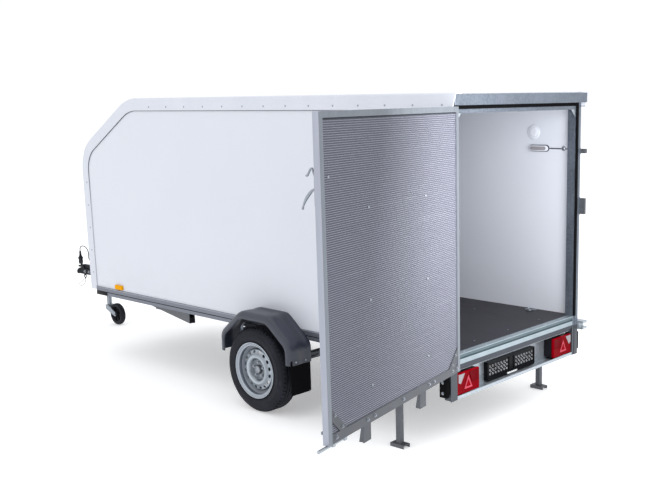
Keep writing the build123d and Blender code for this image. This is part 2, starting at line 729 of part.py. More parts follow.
for side, s in sides:
    wheel_plane = Plane(origin=(axle_x, 0, axle_z), x_dir=(1, 0, 0), z_dir=(0, 0, 1))
    spin_axis = Axis((axle_x, 0, axle_z), (0, 1, 0))

    with BuildPart() as hub:
        with BuildSketch(wheel_plane):
            with BuildLine():
                Polyline(
                    (stub_radius + running_gap, s * hub_inner),
                    (100, s * hub_inner),
                    (104, s * (hub_inner + 6)),
                    (104, s * (hub_inner + 42)),
                    (hub_radius, s * (hub_inner + 48)),
                    (hub_radius, s * (hub_face - seat_gap)),
                    (30, s * (hub_face - seat_gap)),
                    (30, s * (hub_outer + 6)),
                    (24, s * (hub_outer + 16)),
                    (0, s * (hub_outer + 16)),
                    (0, s * (hub_outer - 16)),
                    (stub_radius + running_gap, s * (hub_outer - 16)),
                    close=True,
                )
            make_face()
        revolve(axis=spin_axis)
    hub.part.label = f"hub_{side}"
    export_step(hub.part, f"parts/hub_{side}.step")

    with BuildPart() as wheel_rim:
        with BuildSketch(wheel_plane):
            with BuildLine():
                # pressed steel rim: flange, bead seat, drop well, bead seat, flange
                Polyline(
                    (rim_radius, s * (wheel_mid + rim_width / 2)),
                    (rim_radius - 3, s * (wheel_mid + rim_width / 2 - rim_wall)),
                    (bead_radius, s * (wheel_mid + rim_width / 2 - 9)),
                    (bead_radius - 2, s * (wheel_mid + 44)),
                    (well_radius + 6, s * (wheel_mid + 32)),
                    (well_radius + 6, s * (wheel_mid - 6)),
                    (bead_radius - 2, s * (wheel_mid - 26)),
                    (bead_radius, s * (wheel_mid - rim_width / 2 + 9)),
                    (rim_radius - 3, s * (wheel_mid - rim_width / 2 + rim_wall)),
                    (rim_radius, s * (wheel_mid - rim_width / 2)),
                    (rim_radius - 8, s * (wheel_mid - rim_width / 2)),
                    (bead_radius - 5, s * (wheel_mid - rim_width / 2 + 6)),
                    (bead_radius - 7, s * (wheel_mid - 28)),
                    (well_radius, s * (wheel_mid - 10)),
                    (well_radius, s * (wheel_mid + 36)),
                    (bead_radius - 7, s * (wheel_mid + 47)),
                    (bead_radius - 5, s * (wheel_mid + rim_width / 2 - 6)),
                    (rim_radius - 8, s * (wheel_mid + rim_width / 2)),
                    close=True,
                )
            make_face()
            with BuildLine():
                # disc: dished out to the ring of holes, then the raised ring, then the hub seat
                Polyline(
                    (well_radius + 1, s * (wheel_mid + 12)),
                    (well_radius + 1, s * (wheel_mid + 30)),
                    (142, s * (wheel_mid + 46)),
                    (116, s * (wheel_mid + 52)),
                    (104, s * (wheel_mid + 62)),
                    (92, s * (wheel_mid + 64)),
                    (78, s * (wheel_mid + 54)),
                    (70, s * (hub_face + 5)),
                    (33, s * (hub_face + 5)),
                    (33, s * hub_face),
                    (71, s * hub_face),
                    (80, s * (wheel_mid + 48)),
                    (93, s * (wheel_mid + 58)),
                    (102, s * (wheel_mid + 56)),
                    (115, s * (wheel_mid + 46)),
                    (138, s * (wheel_mid + 41)),
                    (well_radius - 5, s * (wheel_mid + 28)),
                    (well_radius - 5, s * (wheel_mid + 12)),
                    close=True,
                )
            make_face()
        revolve(axis=spin_axis)
        with BuildSketch(Plane(origin=(axle_x, s * (wheel_mid + 30), axle_z), x_dir=(1, 0, 0),
                               z_dir=(0, s, 0))):
            with PolarLocations(disc_hole_circle - 6, disc_hole_count):
                Circle(disc_hole_radius)
        extrude(amount=40, mode=Mode.SUBTRACT)
    wheel_rim.part.label = f"wheel_rim_{side}"
    export_step(wheel_rim.part, f"parts/wheel_rim_{side}.step")

    tyre_half = tyre_width / 2
    bead_half = rim_width / 2 - 9 - bead_gap
    with BuildPart() as tyre:
        with BuildSketch(wheel_plane):
            with BuildLine():
                tread = Polyline(
                    (tyre_radius - 10, s * (wheel_mid - tyre_half + 20)),
                    (tyre_radius, s * (wheel_mid - tyre_half + 34)),
                    (tyre_radius, s * (wheel_mid + tyre_half - 34)),
                    (tyre_radius - 10, s * (wheel_mid + tyre_half - 20)),
                )
                outer_side = ThreePointArc(
                    tread @ 1,
                    ((tyre_radius + bead_radius) / 2 + 4, s * (wheel_mid + tyre_half)),
                    (bead_radius + 16, s * (wheel_mid + bead_half)),
                )
                inner_side = ThreePointArc(
                    tread @ 0,
                    ((tyre_radius + bead_radius) / 2 + 4, s * (wheel_mid - tyre_half)),
                    (bead_radius + 16, s * (wheel_mid - bead_half)),
                )
                Polyline(
                    outer_side @ 1,
                    (bead_radius + bead_gap, s * (wheel_mid + bead_half)),
                    (bead_radius + bead_gap, s * (wheel_mid + bead_half - 14)),
                    (bead_radius + 30, s * (wheel_mid + tyre_half - 22)),
                    (tyre_radius - 30, s * (wheel_mid + tyre_half - 20)),
                    (tyre_radius - 16, s * (wheel_mid + tyre_half - 36)),
                    (tyre_radius - 16, s * (wheel_mid - tyre_half + 36)),
                    (tyre_radius - 30, s * (wheel_mid - tyre_half + 20)),
                    (bead_radius + 30, s * (wheel_mid - tyre_half + 22)),
                    (bead_radius + bead_gap, s * (wheel_mid - bead_half + 14)),
                    (bead_radius + bead_gap, s * (wheel_mid - bead_half)),
                    inner_side @ 1,
                )
            make_face()
        revolve(axis=spin_axis)
    tyre.part.label = f"tyre_{side}"
    export_step(tyre.part, f"parts/tyre_{side}.step")

# ---------------------------------------------------------------- mudguards and flaps
guard_middle = axle_x - 17
guard_foot = axle_z + 95
guard_shoulder = axle_z + tyre_radius - 70
guard_top = axle_z + tyre_radius + 105
guard_half_top = 155.0
guard_half_width = tyre_radius + 72
guard_wall = 3.0
guard_inner = rail_outer + seat_gap
guard_outer = wheel_y + tyre_width / 2 + 7.8
guard_skirt = 50.0
guard_round = 55.0


def guard_corners(inset):
    """Arch outline from the rear foot over the top to the front foot, moved inwards."""
    slope_inset = inset * tan(radians(22.5))
    return [
        (guard_middle - guard_half_width + inset, guard_foot),
        (guard_middle - guard_half_width + inset, guard_shoulder - slope_inset),
        (guard_middle - guard_half_top + slope_inset, guard_top - inset),
        (guard_middle + guard_half_top - slope_inset, guard_top - inset),
        (guard_middle + guard_half_width - inset, guard_shoulder - slope_inset),
        (guard_middle + guard_half_width - inset, guard_foot),
    ]


with BuildPart() as mudguards:
    for s in (1, -1):
        with BuildSketch(side_view(s * guard_inner)):
            with BuildLine():
                arch = FilletPolyline(guard_corners(0), radius=guard_round)
                Line(arch @ 0, arch @ 1)
            make_face()
        extrude(amount=-s * (guard_outer - guard_inner))
        with BuildSketch(side_view(s * guard_inner)):
            with BuildLine():
                arch = FilletPolyline(guard_corners(guard_wall), radius=guard_round - guard_wall)
                Line(arch @ 0, arch @ 1)
            make_face()
        extrude(amount=-s * (guard_outer - guard_inner - guard_wall), mode=Mode.SUBTRACT)
        with BuildSketch(side_view(s * guard_inner)):
            with BuildLine():
                arch = FilletPolyline(guard_corners(guard_skirt), radius=guard_round - guard_skirt / 2)
                Line(arch @ 0, arch @ 1)
            make_face()
        extrude(amount=-s * (guard_outer - guard_inner), mode=Mode.SUBTRACT)
mudguards.part.label = "mudguards"
export_step(mudguards.part, "parts/mudguards.step")

flap_thickness = 4.0
flap_foot = guard_foot - 205
flap_lap = 34.0
with BuildPart() as mudflaps:
    for s in (1, -1):
        flap_x = guard_middle - guard_half_width + guard_wall + seat_gap
        with BuildSketch(rear_view(flap_x)):
            with Locations((s * (guard_inner + guard_outer) / 2, (flap_foot + guard_foot + flap_lap) / 2)):
                RectangleRounded(guard_outer - guard_inner - 16, guard_foot + flap_lap - flap_foot, 14)
        extrude(amount=flap_thickness)
mudflaps.part.label = "mudflaps"
export_step(mudflaps.part, "parts/mudflaps.step")

# ---------------------------------------------------------------- rear prop legs
leg_size = 35.0
leg_wall = 3.0
leg_x = rear + 358
leg_y = half + 62
leg_clearance = 0.8
sleeve_size = leg_size + 2 * (leg_clearance + 4)
sleeve_height = 120.0
sleeve_foot = rail_foot - 50
leg_top = sleeve_foot + sleeve_height + 35
leg_foot_length = 110.0
leg_foot_width = 62.0
leg_foot_height = 24.0

with BuildPart() as leg_holders:
    for s in (1, -1):
        with BuildSketch(Plane.XY.offset(sleeve_foot)):
            with Locations((leg_x, s * leg_y)):
                RectangleRounded(sleeve_size, sleeve_size, 3)
                Rectangle(leg_size + 2 * leg_clearance, leg_size + 2 * leg_clearance, mode=Mode.SUBTRACT)
        extrude(amount=sleeve_height)
        bracket_outer = leg_y - sleeve_size / 2 + 1
        with BuildSketch(Plane.XY.offset(rail_foot - seat_gap)):
            with Locations((leg_x, s * (rail_inner + bracket_outer) / 2)):
                Rectangle(90, bracket_outer - rail_inner)
        extrude(amount=-6)
        with BuildSketch(Plane(origin=(leg_x + sleeve_size / 2 - 1, s * leg_y, sleeve_foot + 28),
                               x_dir=(0, 1, 0), z_dir=(1, 0, 0))):
            Circle(9)
        extrude(amount=16)
        with BuildSketch(Plane(origin=(leg_x + sleeve_size / 2 + 15, s * leg_y, sleeve_foot + 28),
                               x_dir=(0, 1, 0), z_dir=(1, 0, 0))):
            RectangleRounded(12, 70, 4)
        extrude(amount=8)
leg_holders.part.label = "leg_holders"
export_step(leg_holders.part, "parts/leg_holders.step")

for side, s in sides:
    with BuildPart() as support_leg:
        with BuildSketch(Plane.XY.offset(ground + leg_foot_height - 4)):
            with Locations((leg_x, s * leg_y)):
                Rectangle(leg_size, leg_size)
                Rectangle(leg_size - 2 * leg_wall, leg_size - 2 * leg_wall, mode=Mode.SUBTRACT)
        extrude(amount=leg_top - ground - leg_foot_height + 4)
        with BuildSketch(Plane(origin=(leg_x - leg_foot_length / 2, s * leg_y, ground),
                               x_dir=(0, 1, 0), z_dir=(1, 0, 0))):
            with Locations((0, leg_foot_height / 2)):
                Rectangle(leg_foot_width, leg_foot_height)
                with Locations((0, -4)):
                    Rectangle(leg_foot_width - 8, leg_foot_height - 4, mode=Mode.SUBTRACT)
        extrude(amount=leg_foot_length)
    support_leg.part.label = f"support_leg_{side}"
    export_step(support_leg.part, f"parts/support_leg_{side}.step")

# ---------------------------------------------------------------- rear door
# The door hangs on a vertical axis behind the left post. Along the door s runs from the axis to
# the free edge, and depth is measured from the axis towards the outer face.
hinge_x = rear - 48
hinge_y = half + 5
door_edge = 20.0
door_width = body_width - 45
door_free = door_edge + door_width
door_outer = -2.0
door_inner = door_outer - door_thickness
door_top = header_foot - swing_gap
door_foot = deck - 64
frame_width = 30.0
panel_depth = 24.0
bar_flange = 4.0
bar_face_top = door_foot + 46
door_heading = radians(-90 - door_open_angle)
along_door = Vector(cos(door_heading), sin(door_heading), 0)
out_of_door = Vector(along_door.Y, -along_door.X, 0)


def door_face(depth):
    """Plane in the door at a depth: local x runs to the free edge, local y is up."""
    return Plane(
        origin=(hinge_x + out_of_door.X * depth, hinge_y + out_of_door.Y * depth, 0),
        x_dir=along_door,
        z_dir=out_of_door,
    )


def door_section(s):
    """Plane across the door at s: local x points out of the door, local y is up."""
    return Plane(
        origin=(hinge_x + along_door.X * s, hinge_y + along_door.Y * s, 0),
        x_dir=out_of_door,
        z_dir=(out_of_door.Y, -out_of_door.X, 0),
    )


with BuildPart() as door_frame:
    with BuildSketch(door_face(door_inner)):
        with Locations(((door_edge + door_free) / 2, (door_foot + door_top) / 2)):
            Rectangle(door_width, door_top - door_foot)
        with Locations(((door_edge + door_free) / 2, (door_foot + door_top - frame_width) / 2 - 1)):
            Rectangle(door_width - 2 * frame_width, door_top - frame_width - door_foot + 2,
                      mode=Mode.SUBTRACT)
    extrude(amount=door_thickness)
door_frame.part.label = "door_frame"
export_step(door_frame.part, "parts/door_frame.step")

panel_from = door_edge + frame_width + seat_gap
panel_to = door_free - frame_width - seat_gap
with BuildPart() as door_panel:
    with BuildSketch(door_face(door_inner + bar_flange + seat_gap)):
        with Locations(((panel_from + panel_to) / 2,
                        (door_foot + bar_flange + door_top - frame_width) / 2)):
            Rectangle(panel_to - panel_from,
                      door_top - frame_width - door_foot - bar_flange - 2 * seat_gap)
    extrude(amount=panel_depth)
door_panel.part.label = "door_panel"
export_step(door_panel.part, "parts/door_panel.step")

# Angle bar along the foot, with the locking rod clipped below it.
rod_radius = 8.0
rod_from = door_free - 170
rod_to = door_free + 65
rod_z = door_foot - rod_radius - 1
with BuildPart() as door_bar:
    with BuildSketch(door_face(door_inner)):
        with Locations(((panel_from + panel_to) / 2, (door_foot + bar_face_top) / 2)):
            Rectangle(panel_to - panel_from, bar_face_top - door_foot)
    extrude(amount=bar_flange)
    with BuildSketch(door_face(door_inner)):
        with Locations(((panel_from + panel_to) / 2, door_foot + bar_flange / 2)):
            Rectangle(panel_to - panel_from, bar_flange)
    extrude(amount=door_thickness)
    with BuildSketch(door_section(rod_from)):
        with Locations(((door_inner + door_outer) / 2, rod_z)):
            Circle(rod_radius)
    extrude(amount=-(rod_to - rod_from))
    for clip_s in (rod_from + 20, door_free - 50):
        with BuildSketch(door_face(door_inner + 4)):
            with Locations((clip_s, rod_z + 2)):
                Rectangle(22, 2 * rod_radius + 6)
        extrude(amount=door_thickness - 8)
door_bar.part.label = "door_bar"
export_step(door_bar.part, "parts/door_bar.step")

# Corner straps between the bar and the upright frame members.
with BuildPart() as door_straps:
    with BuildSketch(door_face(door_inner)):
        with BuildLine():
            Polyline(
                (panel_to, bar_face_top + 126), (panel_to, bar_face_top + 64),
                (panel_to - 66, bar_face_top + seat_gap), (panel_to - 125, bar_face_top + seat_gap),
                close=True,
            )
        make_face()
        with BuildLine():
            Polyline(
                (panel_from, bar_face_top + 104), (panel_from, bar_face_top + 57),
                (panel_from + 37, bar_face_top + seat_gap), (panel_from + 113, bar_face_top + seat_gap),
                close=True,
            )
        make_face()
    extrude(amount=bar_flange)
door_straps.part.label = "door_straps"
export_step(door_straps.part, "parts/door_straps.step")

# Folded feet that the door stands on when it is lowered as a ramp.
foot_drop = 109.0
foot_half = 35.0
foot_plate = 5.0
foot_return = 34.0
with BuildPart() as door_feet:
    for foot_s in (door_edge + 401, door_free - 393):
        with BuildSketch(door_face(door_outer + seat_gap)):
            with BuildLine():
                Polyline(
                    (foot_s - foot_half, door_foot + 30), (foot_s + foot_half - 8, door_foot + 30),
                    (foot_s + foot_half, door_foot - foot_drop),
                    (foot_s - foot_half, door_foot - foot_drop),
                    close=True,
                )
            make_face()
        extrude(amount=foot_plate)
        with BuildSketch(door_section(foot_s + foot_half - 8)):
            with BuildLine():
                Polyline(
                    (door_outer + 1, door_foot + 30), (door_outer + 10, door_foot + 30),
                    (door_outer + foot_return, door_foot - foot_drop),
                    (door_outer + 1, door_foot - foot_drop),
                    close=True,
                )
            make_face()
        extrude(amount=foot_plate)
door_feet.part.label = "door_feet"
export_step(door_feet.part, "parts/door_feet.step")

# Lift-off hinges: the pin stands on the bracket and the door's knuckle drops over it.
pin_radius = 5.0
knuckle_radius = 9.0
knuckle_height = 32.0
lug_height = 18.0
bracket_wall = 6.0
bracket_reach = 46.0
lug_feet = (door_foot, header_foot - 88)

with BuildPart() as hinge_brackets:
    for lug_foot in lug_feet:
        with BuildSketch(Plane.XY.offset(lug_foot)):
            with Locations((hinge_x, hinge_y)):
                Circle(knuckle_radius)
            with Locations(((hinge_x + rear) / 2, half + seat_gap + bracket_wall / 2)):
                Rectangle(rear - hinge_x, bracket_wall)
        extrude(amount=lug_height)
        with BuildSketch(Plane.XY.offset(lug_foot)):
            with Locations((hinge_x, hinge_y)):
                Circle(pin_radius)
        extrude(amount=lug_height + knuckle_height + 6)
        with BuildSketch(side_view(half + seat_gap)):
            with Locations((rear + bracket_reach / 2 - 1, lug_foot + 29)):
                Rectangle(bracket_reach + 2, 58)
        extrude(amount=-bracket_wall)
hinge_brackets.part.label = "hinge_brackets"
export_step(hinge_brackets.part, "parts/hinge_brackets.step")

with BuildPart() as door_knuckles:
    for lug_foot in lug_feet:
        with BuildSketch(Plane.XY.offset(lug_foot + lug_height + seat_gap)):
            with Locations((hinge_x, hinge_y)):
                Circle(knuckle_radius)
        extrude(amount=knuckle_height)
        with BuildSketch(door_face(door_outer + seat_gap)):
            with Locations((30, lug_foot + lug_height + seat_gap + knuckle_height / 2)):
                Rectangle(60, knuckle_height)
        extrude(amount=bracket_wall)
        with BuildSketch(Plane.XY.offset(lug_foot)):
            with Locations((hinge_x, hinge_y)):
                Circle(pin_radius + running_gap)
        extrude(amount=lug_height + 2 * knuckle_height, mode=Mode.SUBTRACT)
door_knuckles.part.label = "door_knuckles"
export_step(door_knuckles.part, "parts/door_knuckles.step")

# Latch on the outer face near the free edge: lock plate, hook and lever with its knob.
latch_s = door_free - frame_width / 2
latch_top = header_foot - 232
latch_foot = latch_top - 230
lever_z = latch_foot + 112
hook_z = latch_foot + 158
knob_z = door_foot + 55
with BuildPart() as door_latch:
    with BuildSketch(door_face(door_outer + seat_gap)):
        with Locations((latch_s, (latch_foot + latch_top) / 2)):
            RectangleRounded(frame_width - 2, latch_top - latch_foot, 4)
    extrude(amount=4)
    with BuildSketch(door_section(latch_s + 6)):
        with BuildLine():
            Polyline(
                (door_outer + 2, hook_z), (door_outer + 8, hook_z),
                (door_outer + 22, hook_z + 40), (door_outer + 26, hook_z + 38),
                (door_outer + 42, hook_z - 6), (door_outer + 52, hook_z - 2),
                (door_outer + 32, hook_z + 50), (door_outer + 16, hook_z + 54),
                (door_outer + 2, hook_z + 22), close=True,
            )
        make_face()
    extrude(amount=12)
    with BuildSketch(door_section(latch_s + 4)):
        with BuildLine():
            Polyline(
                (door_outer + 2, lever_z - 14), (door_outer + 20, lever_z - 30),
                (door_outer + 44, lever_z - 88), (door_outer + 54, lever_z - 86),
                (door_outer + 42, lever_z - 40), (door_outer + 26, lever_z - 12),
                (door_outer + 2, lever_z + 6), close=True,
            )
        make_face()
    extrude(amount=8)
    with BuildSketch(door_section(latch_s + 6)):
        with Locations((door_outer + 49, lever_z - 88)):
            Circle(7)
    extrude(amount=12)
    with BuildSketch(door_face(door_outer + seat_gap)):
        with Locations((latch_s, knob_z)):
            Circle(5)
    extrude(amount=12)
    with BuildSketch(door_face(door_outer + 10)):
        with Locations((latch_s, knob_z)):
            Circle(9)
    extrude(amount=10)
door_latch.part.label = "door_latch"
export_step(door_latch.part, "parts/door_latch.step")

# Fixed pieces of the lock on the right post: the fork for the locking rod, a catch and a keeper.
fork_jaw_gap = 2 * (rod_radius + 5.5)
fork_inner = half + seat_gap
fork_outer = half + 56
fork_height = 60.0
fork_slot_x = hinge_x - (door_inner + door_outer) / 2 + rod_radius + 5.5
with BuildPart() as rod_fork:
    with BuildSketch(side_view(-fork_inner)):
        with Locations((rear - 6, rod_z)):
            RectangleRounded(80, fork_height, 6)
        with Locations(((rear - 60 + fork_slot_x) / 2, rod_z)):
            Rectangle(fork_slot_x - rear + 60, fork_jaw_gap, mode=Mode.SUBTRACT)
    extrude(amount=fork_outer - fork_inner)
    with BuildSketch(side_view(-(half - wall))):
        with Locations((rear + 18, rod_z)):
            Rectangle(32, fork_height)
    extrude(amount=fork_inner - half + wall)
rod_fork.part.label = "rod_fork"
export_step(rod_fork.part, "parts/rod_fork.step")

with BuildPart() as door_catches:
    for catch_z, catch_height, catch_depth in ((latch_foot - 242, 124, 18), (latch_foot + 135, 44, 22)):
        with BuildSketch(side_view(-(half + seat_gap))):
            with Locations((rear + 18, catch_z)):
                RectangleRounded(44, catch_height, 5)
        extrude(amount=4)
        with BuildSketch(side_view(-(half + seat_gap))):
            with Locations((rear - 20, catch_z)):
                RectangleRounded(44, catch_height - 14, 5)
        extrude(amount=catch_depth)
door_catches.part.label = "door_catches"
export_step(door_catches.part, "parts/door_catches.step")

# ---------------------------------------------------------------- small fittings
with BuildPart() as side_markers:
    for s in (1, -1):
        with BuildSketch(side_view(s * (half + seat_gap))):
            with Locations((front - 431, panel_foot + 27)):
                RectangleRounded(105, 36, 8)
        extrude(amount=-s * 14)
side_markers.part.label = "side_markers"
export_step(side_markers.part, "parts/side_markers.step")

inner_wall = half - wall - seat_gap
vent_x = rear + 367
vent_z = roof - 268
with BuildPart() as wall_vent:
    with BuildSketch(side_view(-inner_wall)):
        with Locations((vent_x, vent_z)):
            Circle(50)
    extrude(amount=-7)
    with BuildSketch(side_view(-inner_wall + 7)):
        with Locations((vent_x, vent_z)):
            Circle(38)
    extrude(amount=-7)
wall_vent.part.label = "wall_vent"
export_step(wall_vent.part, "parts/wall_vent.step")

with BuildPart() as interior_lamp:
    with BuildSketch(side_view(-inner_wall)):
        with Locations((vent_x - 47, vent_z - 111)):
            RectangleRounded(168, 46, 18)
    extrude(amount=-26)
    with BuildSketch(side_view(-inner_wall)):
        with Locations(((rear + post_depth + 1 + vent_x - 131) / 2, vent_z - 111)):
            Rectangle(vent_x - 131 - rear - post_depth - 1, 12)
    extrude(amount=-9)
interior_lamp.part.label = "interior_lamp"
export_step(interior_lamp.part, "parts/interior_lamp.step")

# Lashing eyes: a folded plate on the floor with a ring through it.
eye_places = (rear + 350, front - 1280)
eye_y = half - wall - 42
ring_radius = 26.0
ring_wire = 4.0
with BuildPart() as lashing_eyes:
    for eye_x in eye_places:
        for s in (1, -1):
            with BuildSketch(Plane.XY.offset(deck + seat_gap)):
                with Locations((eye_x, s * eye_y)):
                    RectangleRounded(84, 34, 6)
            extrude(amount=3)
            with BuildSketch(side_view(s * eye_y)):
                with Locations((eye_x, deck + 3)):
                    Circle(10)
                    with Locations((0, -10)):
                        Rectangle(24, 19, mode=Mode.SUBTRACT)
            extrude(amount=8, both=True)
            with Locations(Location((eye_x, s * (eye_y - ring_radius + 2), deck + 6.2), (s * 4, 0, 0))):
                Torus(ring_radius, ring_wire)
lashing_eyes.part.label = "lashing_eyes"
export_step(lashing_eyes.part, "parts/lashing_eyes.step")

with BuildPart() as frame_gussets:
    for s in (1, -1):
        with BuildSketch(rear_view(rear + seat_gap)):
            with BuildLine():
                Polyline(
                    (s * (opening_half - seat_gap), header_foot - seat_gap),
                    (s * (opening_half - 96), header_foot - seat_gap),
                    (s * (opening_half - seat_gap), web_foot - 52),
                    close=True,
                )
            make_face()
        extrude(amount=4)
frame_gussets.part.label = "frame_gussets"
export_step(frame_gussets.part, "parts/frame_gussets.step")

# Black plastic caps: in the lower rear end of each drawbar beam, and at the front end of each
# rail, where a hollow corner cap carries the rail on under the nose.
with BuildPart() as end_caps:
    for s in (1, -1):
        beam_dir = (cos(beam_angle), -s * sin(beam_angle), 0)
        with BuildSketch(Plane(origin=(beam_rear, s * beam_rear_y, beam_top - beam_height / 2),
                               x_dir=(-beam_dir[1], beam_dir[0], 0), z_dir=beam_dir)):
            with Locations((0, -beam_height / 4)):
                RectangleRounded(beam_width, beam_height / 2, 3)
        extrude(amount=-7)
        cap_outer = rail_outer - rail_step
        with BuildSketch(rear_view(rail_end + seat_gap)):
            with Locations((s * (rail_inner + cap_outer) / 2, (rail_foot + nose_foot - seat_gap) / 2)):
                Rectangle(cap_outer - rail_inner, nose_foot - seat_gap - rail_foot)
        extrude(amount=front - 4 - rail_end)
        with BuildSketch(rear_view(rail_end + seat_gap)):
            with Locations((s * (rail_inner + cap_outer) / 2, (rail_foot + nose_foot - seat_gap) / 2)):
                Rectangle(cap_outer - rail_inner - 6, nose_foot - seat_gap - rail_foot - 6)
        extrude(amount=front - 8 - rail_end, mode=Mode.SUBTRACT)
end_caps.part.label = "end_caps"
export_step(end_caps.part, "parts/end_caps.step")

# ---------------------------------------------------------------- lighting plug and cords
plug_x = -12.0
plug_radius = 19.0
plug_foot = shank_top + 36
plug_shoulder = plug_foot + 66
boot_radius = 9.0
boot_top = plug_foot + 128
with BuildPart() as lighting_plug:
    with BuildSketch(side_view(0)):
        with BuildLine():
            Polyline(
                (plug_x, plug_foot), (plug_x + plug_radius, plug_foot),
                (plug_x + plug_radius, plug_shoulder), (plug_x + plug_radius - 4, plug_shoulder + 12),
                (plug_x + boot_radius + 2, plug_shoulder + 18), (plug_x + boot_radius, boot_top - 6),
                (plug_x + boot_radius - 3, boot_top), (plug_x, boot_top),
                close=True,
            )
        make_face()
    revolve(axis=Axis((plug_x, 0, 0), (0, 0, 1)))
    with BuildSketch(Plane.XY.offset(plug_foot + 22)):
        with Locations((plug_x - plug_radius - 2, 0)):
            RectangleRounded(14, 16, 3)
    extrude(amount=26)
lighting_plug.part.label = "lighting_plug"
export_step(lighting_plug.part, "parts/lighting_plug.step")

holder_wall = 4.0
holder_y = 22.0
cable_radius = 4.0
gland_x = -286.0
with BuildPart() as plug_holder:
    with BuildSketch(Plane.XY.offset(plug_foot + 50)):
        with Locations((plug_x, 0)):
            Circle(plug_radius + seat_gap + holder_wall)
            Circle(plug_radius + seat_gap, mode=Mode.SUBTRACT)
    extrude(amount=14)
    with BuildSketch(side_view(holder_y + holder_wall)):
        with BuildLine():
            Polyline(
                (-110, shank_top + seat_gap), (-50, shank_top + seat_gap),
                (-40, plug_foot + 46), (plug_x, plug_foot + 50), (plug_x, plug_foot + 64),
                (-56, plug_foot + 64), (-80, plug_foot + 10),
                close=True,
            )
        make_face()
    extrude(amount=holder_wall)
    with BuildSketch(Plane.XY.offset(shank_top + seat_gap)):
        with Locations((gland_x, -2)):
            Circle(12)
    extrude(amount=9)
    with BuildSketch(Plane.XY.offset(shank_top + seat_gap)):
        with Locations((gland_x, -2)):
            Circle(8)
    extrude(amount=14)
plug_holder.part.label = "plug_holder"
export_step(plug_holder.part, "parts/plug_holder.step")

plug_cable_route = [
    (plug_x, 0, boot_top + seat_gap),
    (plug_x, 0, boot_top + 34),
    (plug_x - 38, 1, boot_top + 54),
    (plug_x - 88, 2, boot_top + 56),
    (plug_x - 138, 3, boot_top + 38),
    (plug_x - 164, 3, boot_top - 8),
    (plug_x - 154, 3, boot_top - 56),
    (plug_x - 172, 1, boot_top - 90),
    (plug_x - 224, -2, boot_top - 98),
    (gland_x, -2, shank_top + 48),
    (gland_x, -2, shank_top + 14 + 2 * seat_gap),
]
breakaway_route = [
    (-78, 0, -65.3),
    (-80, 2, -93),
    (-66, 16, -126),
    (-38, 34, -144),
    (-14, 40, -122),
    (-32, 26, -96),
    (-73, 2, -67.4),
]
breakaway_radius = 2.0


def bend_radii(route):
    """Bend radius at every inner point: 0.45 of the shorter run over the tangent of half the turn."""
    points = [Vector(*p) for p in route]
    radii = []
    for before, here, after in zip(points, points[1:], points[2:]):
        run_in = here - before
        run_out = after - here
        turn = radians(run_in.get_angle(run_out))
        radii.append(0.45 * min(run_in.length, run_out.length) / tan(turn / 2))
    return radii


with BuildPart() as plug_cable:
    with BuildLine() as cable_line:
        FilletPolyline(plug_cable_route, radius=bend_radii(plug_cable_route))
    with BuildSketch(Plane.XY.offset(plug_cable_route[0][2])):
        with Locations((plug_cable_route[0][0], plug_cable_route[0][1])):
            Circle(cable_radius)
    sweep(path=cable_line.wires()[0])
plug_cable.part.label = "plug_cable"
export_step(plug_cable.part, "parts/plug_cable.step")

breakaway_start = Vector(*breakaway_route[0])
with BuildPart() as breakaway_cable:
    with BuildLine() as cable_line:
        FilletPolyline(breakaway_route, radius=bend_radii(breakaway_route))
    with BuildSketch(Plane(origin=breakaway_start, z_dir=Vector(*breakaway_route[1]) - breakaway_start)):
        Circle(breakaway_radius)
    sweep(path=cable_line.wires()[0])
breakaway_cable.part.label = "breakaway_cable"
export_step(breakaway_cable.part, "parts/breakaway_cable.step")

# Safety clip under the coupling, with the ferrule that closes the breakaway cable.
clip_x = -76.0
clip_z = shank_top - shank_height - 23
clip_radius = 18.0
clip_wire = 4.0
ferrule_foot = breakaway_route[0][2] + seat_gap
with BuildPart() as breakaway_clip:
    with Locations(Location((clip_x, 0, clip_z), (90, 0, 0))):
        Torus(clip_radius, clip_wire)
    with BuildSketch(side_view(0)):
        with Locations((clip_x, shank_top - shank_height - seat_gap - 9)):
            Rectangle(16, 18)
    extrude(amount=5, both=True)
    with BuildSketch(Plane.XY.offset(ferrule_foot)):
        with Locations((clip_x, 0)):
            Circle(6)
    extrude(amount=clip_z - clip_radius - ferrule_foot)
breakaway_clip.part.label = "breakaway_clip"
export_step(breakaway_clip.part, "parts/breakaway_clip.step")

print("plug cable bend radii", [round(r, 1) for r in bend_radii(plug_cable_route)])
print("breakaway cable bend radii", [round(r, 1) for r in bend_radii(breakaway_route)])
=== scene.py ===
# %% [markdown]
# # An enclosed cargo trailer, finished in Blender
#
# The trailer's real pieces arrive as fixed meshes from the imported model. This lesson adds what an
# engineering model leaves out: tread, rivets, ribs, lamp lenses, bolts, cords and, above all, the
# finish of every surface. Each step first says what the real thing is, then how it is made here.

# %% Load the fixed frame
import math

import bmesh
import bpy
from mathutils import Matrix, Vector


